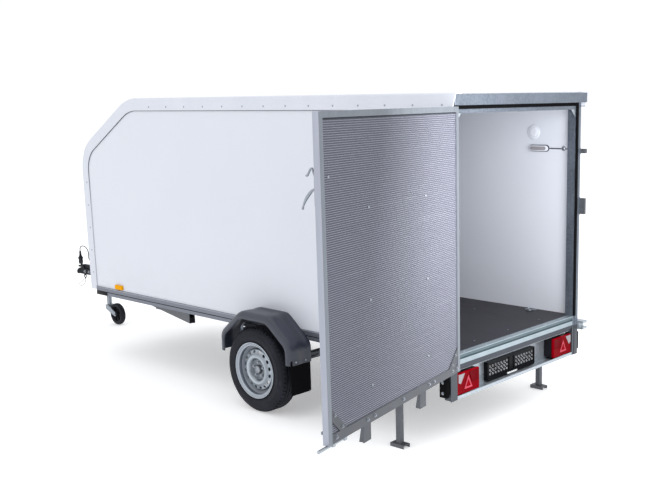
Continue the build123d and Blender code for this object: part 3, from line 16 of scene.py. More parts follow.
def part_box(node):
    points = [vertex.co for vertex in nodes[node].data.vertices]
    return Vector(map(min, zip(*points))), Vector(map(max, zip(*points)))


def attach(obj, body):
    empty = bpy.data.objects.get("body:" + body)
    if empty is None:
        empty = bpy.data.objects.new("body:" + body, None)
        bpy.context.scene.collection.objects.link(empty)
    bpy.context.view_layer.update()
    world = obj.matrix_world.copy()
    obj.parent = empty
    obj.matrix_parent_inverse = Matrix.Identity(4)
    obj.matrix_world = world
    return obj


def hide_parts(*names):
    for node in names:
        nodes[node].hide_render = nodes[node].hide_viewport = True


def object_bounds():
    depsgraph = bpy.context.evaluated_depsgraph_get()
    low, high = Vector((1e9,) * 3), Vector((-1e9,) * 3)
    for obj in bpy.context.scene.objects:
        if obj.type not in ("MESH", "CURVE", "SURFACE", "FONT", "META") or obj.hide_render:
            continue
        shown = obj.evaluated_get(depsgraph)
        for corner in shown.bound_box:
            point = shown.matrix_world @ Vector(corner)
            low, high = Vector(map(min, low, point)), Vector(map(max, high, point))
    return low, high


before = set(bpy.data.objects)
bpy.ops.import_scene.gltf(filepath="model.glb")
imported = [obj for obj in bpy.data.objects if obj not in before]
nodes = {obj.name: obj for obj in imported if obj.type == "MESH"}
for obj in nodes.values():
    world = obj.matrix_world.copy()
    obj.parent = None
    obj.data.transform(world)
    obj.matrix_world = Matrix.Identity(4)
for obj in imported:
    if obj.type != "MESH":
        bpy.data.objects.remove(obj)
cad_low, cad_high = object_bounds()
bpy.ops.object.select_all(action="DESELECT")
print("nodes", len(nodes), "box", [round(v, 3) for v in (*cad_low, *cad_high)])

# %% [markdown]
# ## Places that the rest is measured from
#
# Every place below is read from the frame, so a piece lands where the trailer is. The floor's top
# gives the deck, the tyres give the ground, and the side panels give the two outer faces. What
# stands on both sides is made once for each pair of a sign and a side's name.

# %% Measure the trailer
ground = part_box("tyre_left")[0].z
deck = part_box("load_floor")[1].z
rear_face, half_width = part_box("side_panels")[0].x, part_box("side_panels")[1].y
roof_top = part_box("roof_panel")[1].z
front_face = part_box("nose_panel")[1].x
SIDES = ((1, "left"), (-1, "right"))
print("ground", round(ground, 3), "deck", round(deck, 3), "rear", round(rear_face, 3))

# %% [markdown]
# ## Camera
#
# A camera is placed by where it stands and where it looks. Yaw, pitch and roll are given in
# degrees, and the lens is in millimetres on a 36 mm wide sensor. A small shift slides the picture
# in its frame without turning the camera, so upright edges stay upright.


# %% Stand the camera at the rear left corner
def shown(name, data):
    """A new object in the scene, with this camera, light, curve or mesh."""
    made = bpy.data.objects.new(name, data)
    bpy.context.scene.collection.objects.link(made)
    return made


yaw, pitch, roll = math.radians(49.43), math.radians(-10.59), math.radians(-0.78)
look = Vector((math.cos(yaw) * math.cos(pitch), -math.sin(yaw) * math.cos(pitch), math.sin(pitch)))
camera_data = bpy.data.cameras.new("camera")
camera_data.sensor_width = 36
camera_data.lens = 51.86
camera_data.shift_x = -0.1329
camera_data.shift_y = 0.0421
camera_data.clip_end = 60
camera = shown("camera", camera_data)
camera.location = (rear_face - 3.449, 5.002, ground + 2.136)
camera.rotation_mode = "QUATERNION"
tilt = Matrix.Rotation(roll, 4, "Z").to_quaternion()
camera.rotation_quaternion = look.to_track_quat("-Z", "Y") @ tilt
bpy.context.scene.camera = camera
print("camera at", [round(v, 2) for v in camera.location])

# %% [markdown]
# ## Two cords at the coupling
#
# The lighting cable climbs out of its gland and bends over in one loop into its plug, which is
# parked in a holder. The thin breakaway rope hangs in a small loop from its clip. A cord is a
# curve: a NURBS spline runs smoothly between its control points, here in millimetres, and a round
# bevel takes its thickness from each point's radius. The order is set after the points, because
# Blender lowers it while a spline has only one point.


# %% Hang the two cords
def cord(name, route, diameter, far_end, **facts):
    curve = bpy.data.curves.new(name, "CURVE")
    curve.dimensions = "3D"
    spline = curve.splines.new("NURBS")
    spline.points.add(len(route) - 1)
    for point, place in zip(spline.points, route):
        point.co = (*(value / 1000 for value in place), 1)
        point.radius = diameter / 2
    spline.order_u = 3
    spline.use_endpoint_u = True
    spline.resolution_u = 10
    curve.bevel_depth = 1.0
    curve.bevel_resolution = 4
    curve.use_fill_caps = True
    piece = shown(name, curve)
    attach(piece, "chassis")
    return piece


lighting_cable = cord(
    "lighting_cable",
    [(-286, -2, 58.4), (-286, -2, 91.7), (-236, -2, 109.7), (-184, 1, 117.7), (-166, 3, 151.7),
     (-176, 3, 199.7), (-150, 3, 245.7), (-100, 2, 263.7), (-50, 1, 261.7), (-12, 0, 241.7),
     (-12, 0, 208)],
    0.008, "plug", length=0.44, stiffness="medium", lay="hanging",
    with_pieces=[nodes["lighting_plug"]])
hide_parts("plug_cable")
safety_rope = cord(
    "safety_rope",
    [(-78, 0, -65.3), (-80, 2, -93), (-66, 16, -126), (-38, 34, -144), (-14, 40, -122),
     (-32, 26, -96), (-73, 2, -67.4)],
    0.004, "object", length=0.21, stiffness="medium", lay="hanging")
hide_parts("breakaway_cable")

# %% [markdown]
# ## Floor and light
#
# A studio picture of a vehicle has a pale floor that runs into a pale background, and large soft
# lights. The floor is one big plane. The world gives an even fill, a broad overhead panel lights
# the roof, two tall panels light the side and the rear, and a small one reaches into the load
# space.

# %% Lay the floor and set the world's fill
bpy.ops.mesh.primitive_plane_add(size=60, location=(0, 0, ground))
floor = bpy.context.object
floor.name = "studio_floor"

world = bpy.data.worlds.new("studio")
world.use_nodes = True
world.node_tree.nodes["Background"].inputs["Color"].default_value = (0.985, 0.99, 1.0, 1)
world.node_tree.nodes["Background"].inputs["Strength"].default_value = 1.02
bpy.context.scene.world = world
bpy.context.scene.view_settings.view_transform = "Standard"


# %% Hang the soft panels of light
def soft_panel(name, place, aim, width, height, power):
    """A panel of light over the ground that faces the spot it is aimed at."""
    data = bpy.data.lights.new(name, "AREA")
    data.shape = "RECTANGLE"
    data.size, data.size_y = width, height
    data.energy = power
    lamp = shown(name, data)
    lamp.location = Vector(place) + Vector((0, 0, ground))
    lamp.rotation_euler = (Vector(aim) - Vector(place)).to_track_quat("-Z", "Y").to_euler()
    lamp.visible_camera = False


middle = (cad_low + cad_high) / 2
soft_panel("overhead", (middle.x - 0.5, 0, 6.5), (middle.x, 0, 0), 7, 5, 90)
soft_panel("left_side", (middle.x + 1, 8, 3.5), (middle.x, 0, 1), 6, 4, 45)
soft_panel("rear_side", (rear_face - 7, 1.5, 3.5), (rear_face, 0, 1), 5, 4, 62)
soft_panel("load_space_fill", (rear_face - 0.9, 0.5, 1.75), (rear_face + 1.4, -0.8, 1.3),
           1.2, 1.4, 36)

# %% [markdown]
# ## Writing a material as sums
#
# Blender's shader maths is a web of small nodes. It reads more easily as Python sums, so a tiny
# class wraps a socket and overloads the operators: `1 - mask` then adds one Math node. A second
# class holds a material and has one method that adds any other node.


# %% Wrap a socket so that it can be added and multiplied
class Amount:
    """A number that changes over a surface, usable in sums."""

    def __init__(self, tree, socket):
        self.tree = tree
        self.socket = socket

    def _math(self, operation, first, second):
        maths = self.tree.nodes.new("ShaderNodeMath")
        maths.operation = operation
        for place, value in enumerate((first, second)):
            if isinstance(value, Amount):
                self.tree.links.new(value.socket, maths.inputs[place])
            else:
                maths.inputs[place].default_value = value
        return Amount(self.tree, maths.outputs[0])

    def __add__(self, other):
        return self._math("ADD", self, other)

    def __sub__(self, other):
        return self._math("SUBTRACT", self, other)

    def __rsub__(self, other):
        return self._math("SUBTRACT", other, self)

    def __mul__(self, other):
        return self._math("MULTIPLY", self, other)

    __radd__, __rmul__ = __add__, __mul__

    def wrapped(self):
        """Only what is behind the decimal point, which repeats a pattern in steps of one."""
        return self._math("FRACT", self, 0.0)


# %% Hold a material and add its nodes
class Finish:
    """A material with one Principled shader, whose patterns read Object coordinates."""

    def __init__(self, name, **fixed):
        self.material = bpy.data.materials.new(name)
        self.material.use_nodes = True
        self.tree = self.material.node_tree
        self.shader = self.tree.nodes["Principled BSDF"]
        for socket_name, value in fixed.items():
            self.shader.inputs[socket_name.replace("_", " ")].default_value = value
        self.place = self.node("ShaderNodeTexCoord").outputs["Object"]

    def node(self, kind, settings=None, sockets=None):
        """Adds a node: its settings first, then values or links for its sockets."""
        made = self.tree.nodes.new(kind)
        for key, value in (settings or {}).items():
            if key == "stops":
                ramp = made.color_ramp
                while len(ramp.elements) < len(value):
                    ramp.elements.new(0.5)
                for element, (position, colour) in zip(ramp.elements, value):
                    element.position = position
                    element.color = (*colour, 1)
            else:
                setattr(made, key, value)
        for key, value in (sockets or {}).items():
            if isinstance(value, Amount):
                value = value.socket
            if isinstance(value, bpy.types.NodeSocket):
                self.tree.links.new(value, made.inputs[key])
            else:
                made.inputs[key].default_value = value
        return made

    def along_axes(self):
        """How far forward, left and up a point lies, as three amounts."""
        parts = self.node("ShaderNodeSeparateXYZ", {}, {0: self.place}).outputs
        return [Amount(self.tree, parts[axis]) for axis in "XYZ"]

    def stretched(self, x, y, z):
        """Object coordinates multiplied along each axis, so that a pattern runs in long streaks."""
        return self.node("ShaderNodeMapping", {}, {
            "Vector": self.place, "Scale": (x, y, z)}).outputs[0]

    def cloudy(self, scale, detail=3.0, place=None):
        """Soft noise from 0 to 1."""
        noise = self.node("ShaderNodeTexNoise", {}, {
            "Vector": place or self.place, "Scale": scale, "Detail": detail})
        return Amount(self.tree, noise.outputs["Fac"])

    def net(self, scale, distance="EUCLIDEAN"):
        """An even net, darkest in the middle of each mesh."""
        cells = self.node("ShaderNodeTexVoronoi", {"feature": "F1", "distance": distance}, {
            "Vector": self.place, "Scale": scale, "Randomness": 0.0})
        return Amount(self.tree, cells.outputs["Distance"])

    def between(self, value, low, high):
        """0 below low, 1 above high, smooth between."""
        ranged = self.node("ShaderNodeMapRange", {"interpolation_type": "SMOOTHSTEP"}, {
            "Value": value, "From Min": low, "From Max": high})
        return Amount(self.tree, ranged.outputs[0])

    def blend(self, factor, *colours):
        """A colour between two colours, each a link or its red, green and blue."""
        first, second = ((*c, 1) if isinstance(c, tuple) else c for c in colours)
        mixed = self.node("ShaderNodeMix", {"data_type": "RGBA"}, {0: factor, 6: first, 7: second})
        return mixed.outputs[2]

    def made_of(self, colour, roughness=None, *bumps):
        """Links the colour, and any roughness and bumps: their height, strength and depth."""
        self.tree.links.new(colour, self.shader.inputs["Base Color"])
        if roughness:
            self.tree.links.new(roughness.socket, self.shader.inputs["Roughness"])
        if bumps:
            sockets = dict(zip(("Height", "Strength", "Distance"), bumps))
            bump = self.node("ShaderNodeBump", {}, sockets)
            self.tree.links.new(bump.outputs[0], self.shader.inputs["Normal"])
        return self.material


# %% [markdown]
# ## White panels
#
# The body is a painted laminate: a cool white with a soft gloss. Real panels are never one flat
# white, so a very faint cloud drifts through the colour and roughness, road dust gathers near the
# lower edge, and a fine orange peel roughens the reflection.


# %% White paint
def white_paint():
    f = Finish("white_paint", Coat_Weight=0.25, Coat_Roughness=0.15)
    cloud = f.cloudy(1.3, 4)
    height = f.along_axes()[2]
    dust = (1 - f.between(height, deck - 0.05, deck + 0.35)) * f.between(f.cloudy(9, 5), 0.35, 0.75)
    clean = f.blend(cloud, (0.575, 0.60, 0.665), (0.625, 0.65, 0.705))
    return f.made_of(f.blend(dust * 0.25, clean, (0.60, 0.60, 0.60)),
                     0.34 + cloud * 0.08 + dust * 0.2, f.cloudy(420, 2), 0.05, 0.0006)


white = white_paint()
print("made", white.name)

# %% [markdown]
# ## Plastic mouldings and dark plastics
#
# Moulded plastic has a fine grain from its tool. A noise of under a millimetre gives the grain as
# a bump, and a slower one changes the sheen where hands and weather have polished it. The number
# plate's carrier is a glossy black moulding, so its small relief catches the light: its rings and
# studs get a pale grey finish as a painted highlight.


# %% Plastics and rubbers
def moulded(name, dark, light, roughness, grain, shine=0.35):
    f = Finish(name, Specular_IOR_Level=shine)
    cloud = f.cloudy(6, 4)
    return f.made_of(f.blend(cloud, dark, light), cloud * 0.15 + (roughness - 0.07),
                     f.cloudy(grain, 2), 0.25, 0.0005)


pale_plastic = moulded("pale_plastic", (0.56, 0.585, 0.65), (0.62, 0.645, 0.70), 0.38, 700)
guard_plastic = moulded("guard_plastic", (0.016, 0.019, 0.033), (0.031, 0.037, 0.060),
                        0.36, 900, 0.6)
jet, soot = (0.004, 0.004, 0.006), (0.010, 0.010, 0.012)
black_plastic = moulded("black_plastic", jet, (0.010, 0.010, 0.013), 0.5, 900, 0.15)
seal_rubber = moulded("seal_rubber", (0.0015, 0.0015, 0.002), (0.004, 0.004, 0.005),
                      0.75, 500, 0.05)
cord_rubber = moulded("cord_rubber", jet, soot, 0.55, 1200, 0.15)
cord_grey = moulded("cord_grey", jet, soot, 0.6, 1500, 0.1)
relief_black = moulded("relief_black", (0.003, 0.003, 0.004), (0.008, 0.009, 0.011),
                       0.35, 600, 0.08)
# The pale relief finish is a painted highlight on the carrier's black rings and studs.
relief_highlight = moulded("relief_highlight", (0.10, 0.105, 0.115), (0.50, 0.51, 0.53), 0.25, 600, 0.6)


# %% Painted shadow line, paler towards its lower end
def painted_shadow_line():
    f = Finish("moulding_shadow_finish", Specular_IOR_Level=0.2, Roughness=0.6)
    fade = f.between(f.along_axes()[2], ground + 1.15, ground + 1.85)
    return f.made_of(f.blend(fade, (0.47, 0.49, 0.54), (0.105, 0.11, 0.125)))


moulding_shadow_finish = painted_shadow_line()
print("materials", len(bpy.data.materials))

# %% [markdown]
# ## Bare metals
#
# Three bare metals meet on a trailer. Extruded aluminium has fine lines along its length, so its
# noise is stretched along it. Hot-dip galvanising is mottled in patches. Zinc plating is even and
# bright. Each is a metal with a colour that shifts a little from patch to patch. Where a post has
# painted shade on its foot, or a bar a brighter band along its foot, a height tells the two apart.


# %% Drawn metals
def drawn_metal(name, dark, light, streak, roughness):
    f = Finish(name, Metallic=0.75)
    lines = f.cloudy(1.0, 3, f.stretched(*streak))
    return f.made_of(f.blend(lines * 0.6 + f.cloudy(4, 3) * 0.4, dark, light),
                     lines * 0.2 + (roughness - 0.1), lines, 0.12, 0.0004)


aluminium = drawn_metal("aluminium", (0.13, 0.14, 0.17), (0.22, 0.235, 0.275), (2, 700, 700), 0.42)
# This brighter alloy goes only on the rails' lips, as a painted highlight.
frame_alloy = drawn_metal("frame_alloy", (0.27, 0.285, 0.33), (0.37, 0.39, 0.44), (60, 60, 4), 0.42)
zinc_plate = drawn_metal("zinc_plate", (0.19, 0.21, 0.24), (0.36, 0.39, 0.43), (60, 60, 60), 0.34)


# %% Galvanised steel
def galvanised(name, dark, light, roughness, foot=None):
    """Mottled zinc. A foot is a height and two more colours, for all that lies below it."""
    f = Finish(name, Metallic=0.7)
    patches = f.node("ShaderNodeTexVoronoi", {"feature": "F1"}, {"Vector": f.place, "Scale": 95.0})
    shades = f.node("ShaderNodeSeparateColor", {}, {0: patches.outputs["Color"]})
    spangle = Amount(f.tree, shades.outputs[0])
    cloud = f.cloudy(7, 5)
    mottle = spangle * 0.35 + cloud * 0.65
    colour = f.blend(mottle, dark, light)
    if foot:
        level, foot_dark, foot_light = foot
        above = f.between(f.along_axes()[2], level - 0.0005, level + 0.0005)
        colour = f.blend(above, f.blend(mottle, foot_dark, foot_light), colour)
    return f.made_of(colour, spangle * 0.16 + cloud * 0.14 + (roughness - 0.15),
                     cloud * 0.7 + spangle * 0.3, 0.10, 0.0006)


dip = ((0.085, 0.106, 0.134), (0.215, 0.245, 0.295))
dull = ((0.075, 0.08, 0.09), (0.15, 0.158, 0.175))
# Painted shade: the posts are darker on their foot, below the sill.
post_shaded_foot = (deck - 0.066, (0.050, 0.056, 0.066), (0.100, 0.110, 0.126))
bar_foot = (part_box("door_bar")[0].z + 0.0165, (0.32, 0.35, 0.38), (0.50, 0.54, 0.58))
zinc_dip = galvanised("zinc_dip", *dip, 0.42)
zinc_post = galvanised("zinc_post", *dip, 0.42, post_shaded_foot)
zinc_bright = galvanised("zinc_bright", (0.29, 0.33, 0.37), (0.52, 0.57, 0.62), 0.36)
zinc_dull = galvanised("zinc_dull", *dull, 0.55)
zinc_bar = galvanised("zinc_bar", *dull, 0.5, bar_foot)
axle_metal = galvanised("axle_metal", (0.07, 0.075, 0.085), (0.14, 0.15, 0.165), 0.6)


# %% Galvanised sill with painted shade on its step and foot
def sill_zinc_with_shade(shade_below, groove_low, groove_high):
    """Galvanised section: its edge and face are bright, its upper step and its foot carry painted
    shade.
    """
    f = Finish("sill_zinc", Metallic=0.7)
    height = f.along_axes()[2]
    cloud = f.cloudy(9, 5)
    bright = f.blend(cloud, (0.25, 0.31, 0.35), (0.44, 0.51, 0.55))
    # Painted shade: the step and the foot are darker than the bright zinc.
    step = f.blend(cloud, (0.085, 0.125, 0.145), (0.150, 0.200, 0.225))
    shade_grey = f.blend(cloud, (0.045, 0.052, 0.066), (0.080, 0.090, 0.110))
    foot, above, over = (f.between(height, level - 0.001, level + 0.001)
                         for level in (shade_below, groove_low, groove_high))
    foot = 1 - foot
    return f.made_of(f.blend(foot, f.blend(above * (1 - over), bright, step), shade_grey),
                     0.36 + foot * 0.12 + cloud * 0.1, cloud, 0.08, 0.0005)


sill_zinc = sill_zinc_with_shade(deck - 0.062, deck - 0.033, deck - 0.005)
print("materials", len(bpy.data.materials))

# %% [markdown]
# ## The open door's own directions
#
# The door stands open at an angle, so its pieces are modelled in the door's own directions: along
# it from the hinge, inwards through it, and up. One matrix then turns each piece to its place. The
# alloy of its frame gets a painted highlight on its outer edge and painted shade on its inner face,
# and the depth through the door tells the two apart.

# %% Work out the door's seat
turn = math.radians(102.2)
along = Vector((math.cos(turn), math.sin(turn), 0))
inward = Vector((-math.sin(turn), math.cos(turn), 0))
hinge = Vector((rear_face - 0.048, half_width + 0.005, 0))
door_seat = Matrix((
    (along.x, inward.x, 0, hinge.x), (along.y, inward.y, 0, hinge.y), (0, 0, 1, 0), (0, 0, 0, 1)))
door_foot, door_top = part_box("door_bar")[0].z + 0.017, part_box("door_frame")[1].z
door_inner, door_free = 0.036, 1.405
print("door foot", round(door_foot, 3), "top", round(door_top, 3))


# %% Alloy of the door's frame
def door_alloy():
    """Frame of the door: a painted highlight on its outer edge, painted shade on its inner face."""
    f = Finish("door_alloy", Metallic=0.7)
    x, y, _ = f.along_axes()
    depth = (x - hinge.x) * inward.x + (y - hinge.y) * inward.y
    lines = f.cloudy(1.0, 3, f.stretched(60, 60, 4))
    edge = f.blend(lines, (0.31, 0.325, 0.385), (0.41, 0.43, 0.50))
    face = f.blend(lines, (0.175, 0.195, 0.225), (0.255, 0.28, 0.315))
    # Painted light: the outer edge is painted lighter, the inner face darker.
    inner = f.between(depth, door_inner - 0.0015, door_inner - 0.0005)
    return f.made_of(f.blend(inner, edge, face), lines * 0.2 + 0.32, lines, 0.12, 0.0004)


door_metal = door_alloy()

# %% [markdown]
# ## Floor board, rubber tyre and painted steel
#
# The load floor is plywood with a dark film pressed on in a fine net, so it grips. The tyre is
# dusty rubber, and the rims and coupling are sprayed steel with a faint texture. A rim's deep
# rings get painted shade and its raised rings painted highlights, so its colour runs through a
# ramp along the radius.


# %% Floor board and tyre rubber
def film_plywood():
    f = Finish("film_plywood", Specular_IOR_Level=0.3)
    cloud = f.cloudy(3, 5)
    scuff = f.between(f.cloudy(1.0, 6, f.stretched(3, 40, 40)), 0.58, 0.8)
    board = f.blend(cloud, (0.012, 0.011, 0.016), (0.023, 0.021, 0.028))
    return f.made_of(f.blend(scuff * 0.35, board, (0.062, 0.059, 0.070)),
                     0.42 + cloud * 0.12 + scuff * 0.15, f.net(260.0, "CHEBYCHEV"), 0.35, 0.0006)


def tyre_rubber():
    f = Finish("tyre_rubber", Specular_IOR_Level=0.2)
    dust = f.between(f.cloudy(14, 6), 0.42, 0.75)
    return f.made_of(f.blend(dust * 0.5, (0.008, 0.009, 0.014), (0.036, 0.037, 0.050)),
                     0.62 + dust * 0.2, f.cloudy(320, 3), 0.3, 0.0007)


floor_board, tyre_black = film_plywood(), tyre_rubber()
axle = (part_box("tyre_left")[0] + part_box("tyre_left")[1]) / 2
print("axle at", [round(v, 3) for v in axle])


# %% Sprayed steel
def rim_with_painted_rings():
    """Sprayed steel in rings of painted shade and painted highlight. The ramp runs from the axle at
    0 to a radius of 0.25 m at 1.
    """
    f = Finish("rim_silver", Metallic=0.6, Coat_Weight=0.3, Coat_Roughness=0.15)
    radius = f.node("ShaderNodeVectorMath", {"operation": "DISTANCE"}, {
        0: f.stretched(1, 0, 1), 1: (axle.x, 0, axle.z)}).outputs["Value"]
    # Dark stops are painted shade in the deep rings, bright stops painted highlights on the raised
    # rings.
    rings = f.node("ShaderNodeValToRGB", {"stops": [
        (0.100, (0.30, 0.33, 0.37)), (0.140, (0.10, 0.115, 0.135)), (0.300, (0.13, 0.15, 0.17)),
        (0.345, (0.46, 0.51, 0.56)), (0.410, (0.34, 0.38, 0.42)), (0.450, (0.24, 0.27, 0.31)),
        (0.560, (0.42, 0.47, 0.52)), (0.592, (0.06, 0.07, 0.085)), (0.680, (0.15, 0.17, 0.20)),
        (0.700, (0.36, 0.40, 0.45)), (0.760, (0.29, 0.32, 0.37)), (0.785, (0.48, 0.53, 0.58))]},
        {"Fac": Amount(f.tree, radius) * 4.0}).outputs["Color"]
    cloud = f.cloudy(11, 4)
    return f.made_of(f.blend(cloud * 0.3, rings, (0.16, 0.18, 0.21)),
                     0.24 + cloud * 0.12, f.cloudy(500, 2), 0.08, 0.0005)


def sprayed_black():
    f = Finish("coupling_black", Coat_Weight=0.0, Specular_IOR_Level=0.12)
    cloud = f.cloudy(11, 4)
    mottle = cloud * 0.7 + f.cloudy(900, 1) * 0.3
    return f.made_of(f.blend(mottle, (0.004, 0.0045, 0.007), (0.011, 0.012, 0.016)),
                     cloud * 0.12 + 0.44, f.cloudy(500, 2), 0.08, 0.0005)


rim_silver, coupling_black = rim_with_painted_rings(), sprayed_black()

# %% [markdown]
# ## Lamp lenses
#
# A lamp lens is clear coloured plastic with prisms moulded in its back. At this size the prisms
# read as a fine grid of bumps under a hard, smooth gloss. A reflector is a red lens with smaller,
# brighter cells, and one field of each lamp is darker.


# %% Red, amber and white lenses
def lens(name, deep, bright, pitch=190):
    f = Finish(name, Specular_IOR_Level=0.02)
    prisms = f.net(pitch)
    return f.made_of(f.blend(prisms * 1.4, bright, deep), 0.18 + prisms * 0.15, prisms, 0.35, 0.001)


lamp_red = lens("lamp_red", (0.10, 0.0, 0.002), (0.42, 0.001, 0.010))
lamp_dark = lens("lamp_dark", (0.05, 0.0005, 0.002), (0.18, 0.002, 0.006))
reflector_red = lens("reflector_red", (0.34, 0.03, 0.05), (0.62, 0.13, 0.17), 330)
lamp_amber = lens("lamp_amber", (0.72, 0.30, 0.0), (0.92, 0.46, 0.0))
lamp_clear = lens("lamp_clear", (0.55, 0.57, 0.58), (0.85, 0.87, 0.88))
lamp_window = lens("lamp_window", (0.16, 0.15, 0.16), (0.42, 0.41, 0.43))
print("materials", len(bpy.data.materials))

# %% [markdown]
# ## Dress the frame
#
# A node that already has its true shape only needs its material. Assigning to its slots leaves
# the mesh alone.

# %% Give each node its material
dressing = {
    white: ("side_panels", "roof_panel", "nose_panel"),
    pale_plastic: ("edge_mouldings",),
    floor_board: ("load_floor",),
    aluminium: ("side_rails",),
    door_metal: ("door_frame",),
    zinc_dip: ("cross_members", "header_beam", "drawbar_plates", "spring_hangers"),
    zinc_post: ("rear_posts",),
    zinc_bright: ("light_bar", "frame_gussets", "rod_fork"),
    sill_zinc: ("rear_sill",),
    zinc_bar: ("door_bar",),
    zinc_dull: (
        "door_straps", "door_feet", "door_catches", "drawbar_beams", "leg_holders",
        "support_leg_left", "support_leg_right"),
    zinc_plate: (
        "jockey_tube", "jockey_fork", "spring_clamps", "hinge_brackets", "door_knuckles",
        "lashing_eyes"),
    axle_metal: ("axle_beam", "leaf_springs", "hub_left", "hub_right"),
    seal_rubber: ("door_seal", "mudflaps"),
    black_plastic: ("lighting_plug",),
    relief_black: ("plate_holder",),
    lamp_amber: ("side_markers",),
    coupling_black: ("coupling_head", "coupling_handle", "plug_holder", "breakaway_clip"),
}
for material, names in dressing.items():
    for name in names:
        nodes[name].data.materials.clear()
        nodes[name].data.materials.append(material)
lighting_cable.data.materials.append(cord_rubber)
safety_rope.data.materials.append(cord_grey)
print("dressed", sum(len(names) for names in dressing.values()), "of", len(nodes))

# %% [markdown]
# ## Tools for modelling a piece
#
# Each piece below is modelled with Blender's own operators, as by hand. `pick` selects by place
# and direction, `block` gives a rounded bar, `plate` draws an outline and thickens it, and `spun`
# turns a profile round an axis. `copies` repeats a finished piece, and `settle` shades it, gives it
# its finish and sets it on its body.


# %% Select, and change between the two modes
def mode(name):
    bpy.ops.object.mode_set(mode=name)


def choose(*pieces):
    """Selects these pieces alone, and makes the first one active."""
    bpy.ops.object.select_all(action="DESELECT")
    for piece in pieces:
        piece.select_set(True)
    if pieces:
        bpy.context.view_layer.objects.active = pieces[0]


def pick(kind, test):
    """In edit mode, selects only the verts, edges or faces whose middle and direction pass."""
    bpy.ops.mesh.select_mode(type={"verts": "VERT", "edges": "EDGE", "faces": "FACE"}[kind])
    bpy.ops.mesh.select_all(action="DESELECT")
    mesh = bmesh.from_edit_mesh(bpy.context.object.data)
    for part in getattr(mesh, kind):
        if kind == "edges":
            start, end = (vert.co for vert in part.verts)
            middle, way = (start + end) / 2, (end - start).normalized()
        else:
            middle = part.co if kind == "verts" else part.calc_center_median()
            way = part.normal
        if test(middle, way):
            part.select_set(True)
    mesh.select_flush_mode()
    bmesh.update_edit_mesh(bpy.context.object.data)


# %% Push, weld and inset
def push(x, y, z):
    """Extrudes what is selected."""
    bpy.ops.mesh.extrude_region_move(TRANSFORM_OT_translate={"value": (x, y, z)})


def weld(threshold=0.00001):
    """Merges the doubles, and leaves everything selected."""
    bpy.ops.mesh.select_all(action="SELECT")
    bpy.ops.mesh.remove_doubles(threshold=threshold)
    bpy.ops.mesh.select_all(action="SELECT")


def face_outwards():
    """Turns every face outwards and leaves edit mode."""
    bpy.ops.mesh.select_all(action="SELECT")
    bpy.ops.mesh.normals_make_consistent(inside=False)
    mode("OBJECT")


def close_up():
    weld()
    face_outwards()


def inset(test, *steps):
    """Insets the faces that pass, once for each thickness and depth."""
    mode("EDIT")
    pick("faces", test)
    for thickness, depth in steps:
        bpy.ops.mesh.inset(thickness=thickness, depth=depth)
    mode("OBJECT")


def apply(piece, kind, **settings):
    """Adds a modifier, sets it and applies it."""
    modifier = piece.modifiers.new(kind, kind)
    for key, value in settings.items():
        setattr(modifier, key, value)
    choose(piece)
    bpy.ops.object.modifier_apply(modifier=kind)


# %% Lines, bars, plates and turned shapes
def begun(name):
    """Names the primitive that was just added, and puts its place and size into its mesh."""
    piece = bpy.context.object
    piece.name = name
    bpy.ops.object.transform_apply(location=True, rotation=True, scale=True)
    return piece


def trace(name, points):
    """A line of edges from point to point, left in edit mode."""
    choose()
    bpy.ops.mesh.primitive_plane_add(size=0.001)
    piece = begun(name)
    mode("EDIT")
    bpy.ops.mesh.select_mode(type="VERT")
    bpy.ops.mesh.merge(type="CENTER")
    bpy.ops.transform.translate(value=points[0])
    for here, there in zip(points, points[1:]):
        push(*(b - a for a, b in zip(here, there)))
    return piece


def block(name, low, high, edge, segments=2):
    choose()
    low, high = Vector(low), Vector(high)
    bpy.ops.mesh.primitive_cube_add(size=1, location=(low + high) / 2, scale=high - low)
    piece = begun(name)
    mode("EDIT")
    bpy.ops.mesh.bevel(offset=edge, segments=segments, affect="EDGES")
    mode("OBJECT")
    return piece


def side_block(name, s, low, high, edge, segments=2):
    """A block given for the left side, which s = -1 mirrors to the right."""
    near, far = sorted((s * low[1], s * high[1]))
    return block(name, (low[0], near, low[2]), (high[0], far, high[2]), edge, segments)


def plate(name, points, thickness, edge=0.0):
    """A flat outline pushed along thickness, with its long edges rounded."""
    piece = trace(name, points + points[:1])
    weld()
    bpy.ops.mesh.edge_face_add()
    push(*thickness)
    close_up()
    if edge:
        apply(piece, "BEVEL", width=edge, segments=2, limit_method="ANGLE")
    return piece


def spun(name, profile, centre=(0, 0, 0), axis=(0, 0, 1), steps=48):
    piece = trace(name, profile)
    bpy.ops.mesh.select_all(action="SELECT")
    bpy.ops.mesh.spin(steps=steps, angle=math.tau, center=centre, axis=axis)
    close_up()
    return piece


# %% Turn a section given in millimetres
def turned(name, profile, steps, unit=0.001):
    """Turns a profile of radius and height round the upright through the origin."""
    return spun(name, [(out * unit, 0, up * unit) for out, up in profile], steps=steps)


def mirrored(half):
    """The other half of a wheel's section, in the order that carries on from the first."""
    return [(radius, -across) for radius, across in reversed(half)]


def wheel_ring(name, section, centre, steps):
    """Turns a section of radius and distance across round an axle that lies across the trailer."""
    points = [centre + Vector((radius, across, 0)) / 1000 for radius, across in section]
    return spun(name, points + points[:1], centre, (0, 1, 0), steps)


# %% Repeat a piece and set it on its body
def at(place, facing):
    """Stands a piece modelled upright at the origin on a place, facing any way."""
    return Matrix.Translation(place) @ Vector(facing).to_track_quat("Z", "Y").to_matrix().to_4x4()


def join(pieces):
    choose(*pieces)
    if len(pieces) > 1:
        bpy.ops.object.join()
    return pieces[0]


def copies(piece, places):
    """Copies a finished piece, each time with its own mesh, and joins the copies."""
    name, mesh = piece.name, piece.data
    bpy.data.objects.remove(piece)
    twins = []
    for place in places:
        twins.append(shown(name, mesh.copy()))
        twins[-1].data.transform(place)
    made = join(twins)
    made.name = name
    return made


